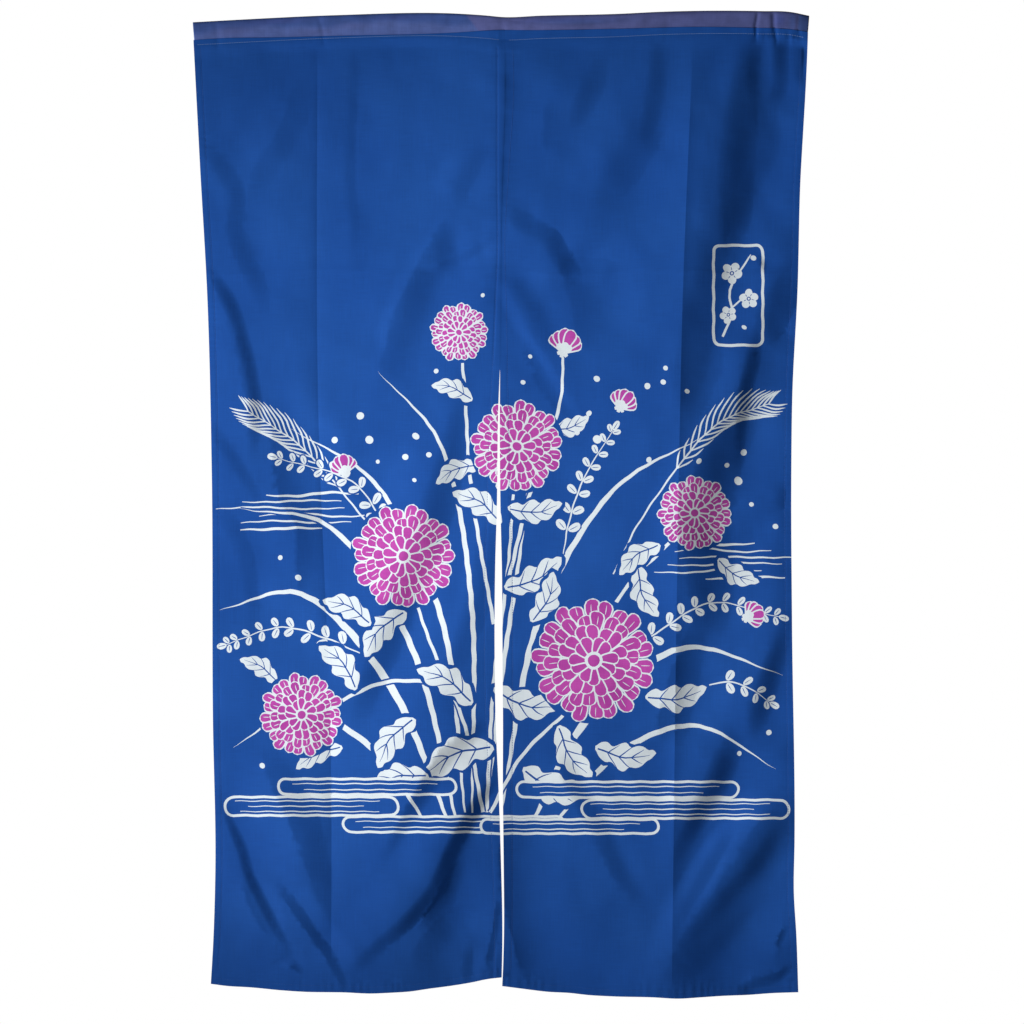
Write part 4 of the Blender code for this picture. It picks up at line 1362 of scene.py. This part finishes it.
def well_inside(panel, across, drop, clear):
    _, (from_side, _), (from_foot, _) = from_edges(panel, across, drop)
    from_seam = panel.seam_side * (across - inner_edge(panel, drop))
    from_lap = drop - smooth_line(LAP_LINE, across)
    return np.minimum.reduce([from_seam, from_side, from_foot, from_lap]) > clear


def inside_points(panel, outline):
    """A lattice that is finer where the cloth bends, and points along its creases and stitches."""
    low, high = outline.min(0), outline.max(0)
    across, drop = np.meshgrid(
        np.arange(low[0], high[0], FINE), np.arange(low[1], high[1], FINE), indexing="ij"
    )
    column, line = np.indices(across.shape)
    offset = np.where(line // 2 % 2 == 1, FINE, 0.0)
    coarse = (column % 2 == 0) & (line % 2 == 0)
    across = across + np.where(coarse, offset, 0.0)
    height = panel_forward(panel, across, drop)
    bend = np.zeros(height.shape)
    bend[1:-1, 1:-1] = np.maximum(
        np.abs(height[2:, 1:-1] + height[:-2, 1:-1] - 2 * height[1:-1, 1:-1]),
        np.abs(height[1:-1, 2:] + height[1:-1, :-2] - 2 * height[1:-1, 1:-1]),
    ) / FINE**2
    keep = (coarse | (bend > FINEST_BEND)) & well_inside(panel, across, drop, EDGE_CLEAR)
    points = np.column_stack([across[keep], drop[keep]])
    lined = np.vstack([fold_ridge_points(), sewn_points(panel)])
    lined = lined[well_inside(panel, *lined.T, LINE_EDGE_CLEAR)]
    lattice = KDTree(len(points))
    for n, point in enumerate(points):
        lattice.insert((*point, 0.0), n)
    lattice.balance()
    crowded = {n for spot in lined for _, n, _ in lattice.find_range((*spot, 0.0), LINE_CLEAR)}
    spare = np.ones(len(points), dtype=bool)
    spare[list(crowded)] = False
    return np.vstack([points[spare], lined])


def one_way_round(ring):
    x, y = ring.T
    turning = (x * np.roll(y, -1) - y * np.roll(x, -1)).sum()
    return ring if turning > 0 else ring[::-1]


def cut_cloth(panel):
    """Triangles over the cloth, cut along the print, with the ink of each."""
    outline = cloth_outline(panel)
    low, high = outline.min(0), outline.max(0)
    near = [
        (colour, drawn)
        for colour, drawn in OUTLINES
        if (drawn.max(0) > low).all() and (drawn.min(0) < high).all()
    ]
    rings = [one_way_round(ring) for ring in [outline] + [drawn for _, drawn in near]]
    points = np.vstack(rings + [inside_points(panel, outline)])
    starts = np.cumsum([0] + [len(ring) for ring in rings])
    loops = [list(range(start, start + len(ring))) for start, ring in zip(starts, rings)]
    corners = [Vector(point) for point in points]
    laid, _, faces, _, _, sources = delaunay_2d_cdt(corners, [], loops, 0, 1e-5, True)
    inks = [CLOTH] + [colour for colour, _ in near]
    kept = [(face, inks[max(source)]) for face, source in zip(faces, sources) if 0 in source]
    used = sorted({corner for face, _ in kept for corner in face})
    place = {corner: n for n, corner in enumerate(used)}
    flat = np.array([laid[corner] for corner in used])
    triangles = np.array([[place[corner] for corner in face] for face, _ in kept])
    sides = flat[triangles]
    wound = np.cross(sides[:, 1] - sides[:, 0], sides[:, 2] - sides[:, 0])
    triangles[wound > 0] = triangles[wound > 0][:, ::-1]
    return flat, triangles, np.array([colour for _, colour in kept])


def rim_edges(triangles):
    """The edges that only one triangle has, in that triangle's direction."""
    edges = np.vstack([triangles[:, [0, 1]], triangles[:, [1, 2]], triangles[:, [2, 0]]])
    keys = np.sort(edges, axis=1)
    _, first, count = np.unique(keys, axis=0, return_index=True, return_counts=True)
    return edges[first[count == 1]]


def hem_fold(panel, across, drop):
    """How much thicker the back is where an edge is turned under."""
    turned_under = 0.0
    seam, *others = from_edges(panel, across, drop)
    free = ease(*SEAM_LAP_ENDS, drop) if panel.seam_side < 0 else 1.0
    for (away, depth), share in ((seam, free), *((edge, 1.0) for edge in others)):
        turned_under = np.maximum(turned_under, share * ease(depth + 0.22, depth + 0.14, away))
    below = drop - top_edge_drop(across)
    return HEM_FOLD * turned_under * ease(POCKET_TAIL, POCKET_TAIL + 0.8, below)


def in_place(across, drop, forward, lift=0.0):
    """Points in metres. `across` and `drop` are as the camera sees them on the top edge's plane."""
    nearer = 1 - forward / CAMERA_AWAY
    x = CAMERA_ACROSS + (across - CAMERA_ACROSS) * nearer
    z = CAMERA_DROP + (drop - CAMERA_DROP) * nearer
    return np.stack([x, -forward - lift, -z], axis=-1) * CM


def lay_flat(flat, corners, rim):
    """The bake page: the front on its left, the back on its right and the rim down its edge."""
    low, high = flat.min(0), flat.max(0)
    share = (flat - low) / (high - low)
    page = np.column_stack([0.005 + 0.475 * share[:, 0], 0.995 - 0.99 * share[:, 1]])
    page = np.vstack([page, page + (0.49, 0.0)])[corners]
    rows = (np.arange(rim) + 0.1) / rim
    tall = 0.8 / rim
    strip = [(0.980, 0.0), (0.980, tall), (0.995, tall), (0.995, 0.0)]
    strip = [np.column_stack([np.full(rim, left), rows + up]) for left, up in strip]
    page[-4 * rim:] = np.stack(strip, axis=1).reshape(-1, 2)
    return page.astype(np.float32).ravel()


def add_cloth(name, panel):
    flat, triangles, inks = cut_cloth(panel)
    across, drop = flat.T
    forward = panel_forward(panel, across, drop)
    slope_across = (panel_forward(panel, across + SLOPE_STEP, drop) - forward) / SLOPE_STEP
    slope_drop = (panel_forward(panel, across, drop + SLOPE_STEP) - forward) / SLOPE_STEP
    facing = unit(np.column_stack([-slope_across, -np.ones(len(flat)), slope_drop]))
    front = in_place(across, drop, forward, CLOTH_THICKNESS / 2)
    back = in_place(across, drop, forward, -CLOTH_THICKNESS / 2 - hem_fold(panel, across, drop))
    count = len(flat)
    edges = rim_edges(triangles)
    rim = np.column_stack([edges[:, 1], edges[:, 0], edges[:, 0] + count, edges[:, 1] + count])
    faces = triangles.tolist() + (triangles[:, ::-1] + count).tolist() + rim.tolist()
    cloth = smooth_piece(name + "_cloth", np.vstack([front, back]).tolist(), faces)
    for material in CLOTH_MATERIALS:
        cloth.data.materials.append(material)
    slots = np.concatenate([inks, inks + len(CLOTH_MATERIALS) // 2, np.zeros(len(rim), dtype=int)])
    cloth.data.polygons.foreach_set("material_index", slots.astype(np.int32))
    corners = np.array([corner for face in faces for corner in face])
    normals = np.vstack([facing, -facing])[corners]
    rim_run = (front[edges[:, 1]] - front[edges[:, 0]]) / CM
    rim_out = unit(np.cross(rim_run, facing[edges[:, 0]]))
    normals[-4 * len(rim):] = np.repeat(rim_out, 4, axis=0)
    cloth.data.normals_split_custom_set(normals.tolist())
    unfold = cloth.data.uv_layers.new(name="OFBake")
    unfold.data.foreach_set("uv", lay_flat(flat, corners, len(rim)))
    return cloth


for name, panel in PANELS.items():
    cloth = add_cloth(name, panel)
    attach(cloth, "root")
    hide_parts(name)


# ------------------------------------------------------------------ the stitches
# Machine stitches in blue cotton thread: a pale line that closes the pocket, and finer ones
# along every hem. One stitch is modelled and copied along each line, dipping into the cloth at
# both ends.
STITCH_LENGTH = 0.27
STITCH_PITCH = 0.34
STITCH_STAND = 0.012


def model_stitch():
    bpy.ops.object.select_all(action="DESELECT")
    bpy.ops.mesh.primitive_uv_sphere_add(segments=8, ring_count=6, radius=0.5)
    stitch = bpy.context.object
    bpy.ops.object.mode_set(mode="EDIT")
    bpy.ops.mesh.select_all(action="SELECT")
    bpy.ops.transform.rotate(value=math.pi / 2, orient_axis="Y", center_override=(0.0, 0.0, 0.0))
    bpy.ops.object.mode_set(mode="OBJECT")
    points = np.array([vertex.co for vertex in stitch.data.vertices])
    # A new sphere's faces come in another order each time, so they are sorted.
    faces = sorted(list(face.vertices) for face in stitch.data.polygons)
    bpy.data.objects.remove(stitch, do_unlink=True)
    points[:, 1:] *= 1 - 0.35 * np.abs(2 * points[:, :1]) ** 3
    points[:, 2] -= 0.45 * np.abs(2 * points[:, 0]) ** 2.5
    return points, faces


STITCH_POINTS, STITCH_FACES = model_stitch()


def sew(name, lines, width, material):
    """Copies of the stitch along lines of (panel, across and drop), joined in one mesh."""
    points, faces = [], []
    for panel, line in lines:
        passed = passed_along(line)
        centres = np.arange(STITCH_PITCH, passed[-1] - STITCH_PITCH / 2, STITCH_PITCH)
        ends = centres[:, None] + np.array([-0.5, 0.0, 0.5]) * STITCH_LENGTH
        across, drop = (np.interp(ends, passed, axis) for axis in line.T)
        forward = panel_forward(panel, across, drop)
        for spots in in_place(across, drop, forward, CLOTH_THICKNESS / 2 + STITCH_STAND) / CM:
            run = spots[2] - spots[0]
            run /= np.linalg.norm(run)
            aside = np.cross(run, (0.0, -1.0, 0.0))
            aside /= np.linalg.norm(aside)
            axes = np.array([run * STITCH_LENGTH, aside * width, np.cross(aside, run) * width])
            first = len(points)
            points += list(((STITCH_POINTS @ axes) + spots[1]) * CM)
            faces += [[corner + first for corner in face] for face in STITCH_FACES]
    thread = smooth_piece(name, points, faces)
    thread.data.materials.append(material)
    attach(thread, "root")


def thread_material(name, colour):
    """Twisted cotton thread: fine slanting ply lines over a plain colour, with painted shade in the
    grooves between the plies.
    """
    material, tree, shader = new_material(name, 0.6)
    place = node(tree, "ShaderNodeTexCoord", (-900, 0)).outputs["Object"]
    ply = {"Vector": place, "Scale": 900.0}
    ply = node(tree, "ShaderNodeTexWave", (-700, 0), ply, bands_direction="DIAGONAL")
    # Painted shade: the grooves between the plies are 0.7 of the thread's colour.
    groove = (*(0.7 * part for part in colour), 1.0)
    tint = {0: ply.outputs["Fac"], 6: groove, 7: (*colour, 1.0)}
    tint = node(tree, "ShaderNodeMix", (-450, 0), tint, data_type="RGBA")
    feed(tree, shader, {"Base Color": tint.outputs[2]})
    return material


both = list(PANELS.values())
sew("pocket_stitches", [(panel, pocket_line(panel)) for panel in both], 0.075,
    thread_material("pale_thread", (0.26, 0.42, 0.72)))
sew("hem_stitches", [(panel, line) for panel in both for line in hem_lines(panel)], 0.038,
    thread_material("blue_thread", (0.020, 0.105, 0.420)))


# ------------------------------------------------------------------ the studio
# A low pale floor, a soft key light that grazes the cloth from the left at mid height, a weak
# one before it, and a faint one for views of the back. The ground behind is plain white.
CAMERA_LENS = 85.0
SENSOR = 36.0
PHOTO_SIDE = 1024
METRES_A_PIXEL = 0.001383
TOP_EDGE_PIXEL = (501, 17)
FLOOR_DROP = 2.0

Light = namedtuple("Light", "kind place aim size watts")
LIGHTS = {
    "key": Light("SPOT", (-2.745, -1.124, -0.880), (0.543, 0.0, -0.583), 0.30, 595.0),
    "fill": Light("AREA", (0.044, -1.207, -0.700), (0.013, 0.0, -0.700), 0.30, 2.35),
    "back": Light("AREA", (-1.200, 2.200, 0.100), (0.0, 0.0, -0.700), 1.20, 30.0),
}
KEY_ANGLE = 43.6
WHITE_LIGHT = (1.0, 1.0, 1.0, 1.0)


def add_camera():
    centre = PHOTO_SIDE / 2
    across = (centre - TOP_EDGE_PIXEL[0]) * METRES_A_PIXEL
    height = (TOP_EDGE_PIXEL[1] - centre) * METRES_A_PIXEL
    distance = PHOTO_SIDE * METRES_A_PIXEL * CAMERA_LENS / SENSOR
    level = (math.pi / 2, 0.0, 0.0)
    bpy.ops.object.camera_add(location=(across, -distance, height), rotation=level)
    camera = bpy.context.object
    camera.data.lens = CAMERA_LENS
    camera.data.sensor_width = SENSOR
    bpy.context.scene.camera = camera


def add_lights():
    for name, row in LIGHTS.items():
        way = Vector(row.aim) - Vector(row.place)
        turn = way.to_track_quat("-Z", "Y").to_euler()
        bpy.ops.object.light_add(type=row.kind, location=row.place, rotation=turn)
        lamp = bpy.context.object
        lamp.name = name
        lamp.visible_camera = False
        lamp.data.energy = row.watts
        if row.kind == "SPOT":
            lamp.data.spot_size = math.radians(KEY_ANGLE)
            lamp.data.spot_blend = 1.0
            lamp.data.shadow_soft_size = row.size
        else:
            lamp.data.shape = "DISK"
            lamp.data.size = row.size


def add_floor():
    bpy.ops.mesh.primitive_plane_add(size=6.0, location=(0.0, -0.6, -FLOOR_DROP))
    floor = bpy.context.object
    floor.name = "floor"
    material, tree, shader = new_material("floor", 0.9)
    feed(tree, shader, {"Base Color": (0.82, 0.82, 0.81, 1.0)})
    floor.data.materials.append(material)


def add_world():
    world = bpy.data.worlds.new("studio")
    world.use_nodes = True
    bpy.context.scene.world = world
    tree = world.node_tree
    tree.nodes.clear()
    ray = node(tree, "ShaderNodeLightPath", (0, 300))
    around, seen = (
        node(tree, "ShaderNodeBackground", (0, level), {"Color": WHITE_LIGHT, "Strength": strength})
        for level, strength in ((-150, 0.05), (-300, 1.0))
    )
    mix = {0: ray.outputs["Is Camera Ray"], 1: around.outputs[0], 2: seen.outputs[0]}
    mix = node(tree, "ShaderNodeMixShader", (200, 0), mix)
    node(tree, "ShaderNodeOutputWorld", (400, 0), {0: mix.outputs[0]})


add_camera()
add_lights()
add_floor()
add_world()
bpy.context.scene.view_settings.view_transform = "Standard"
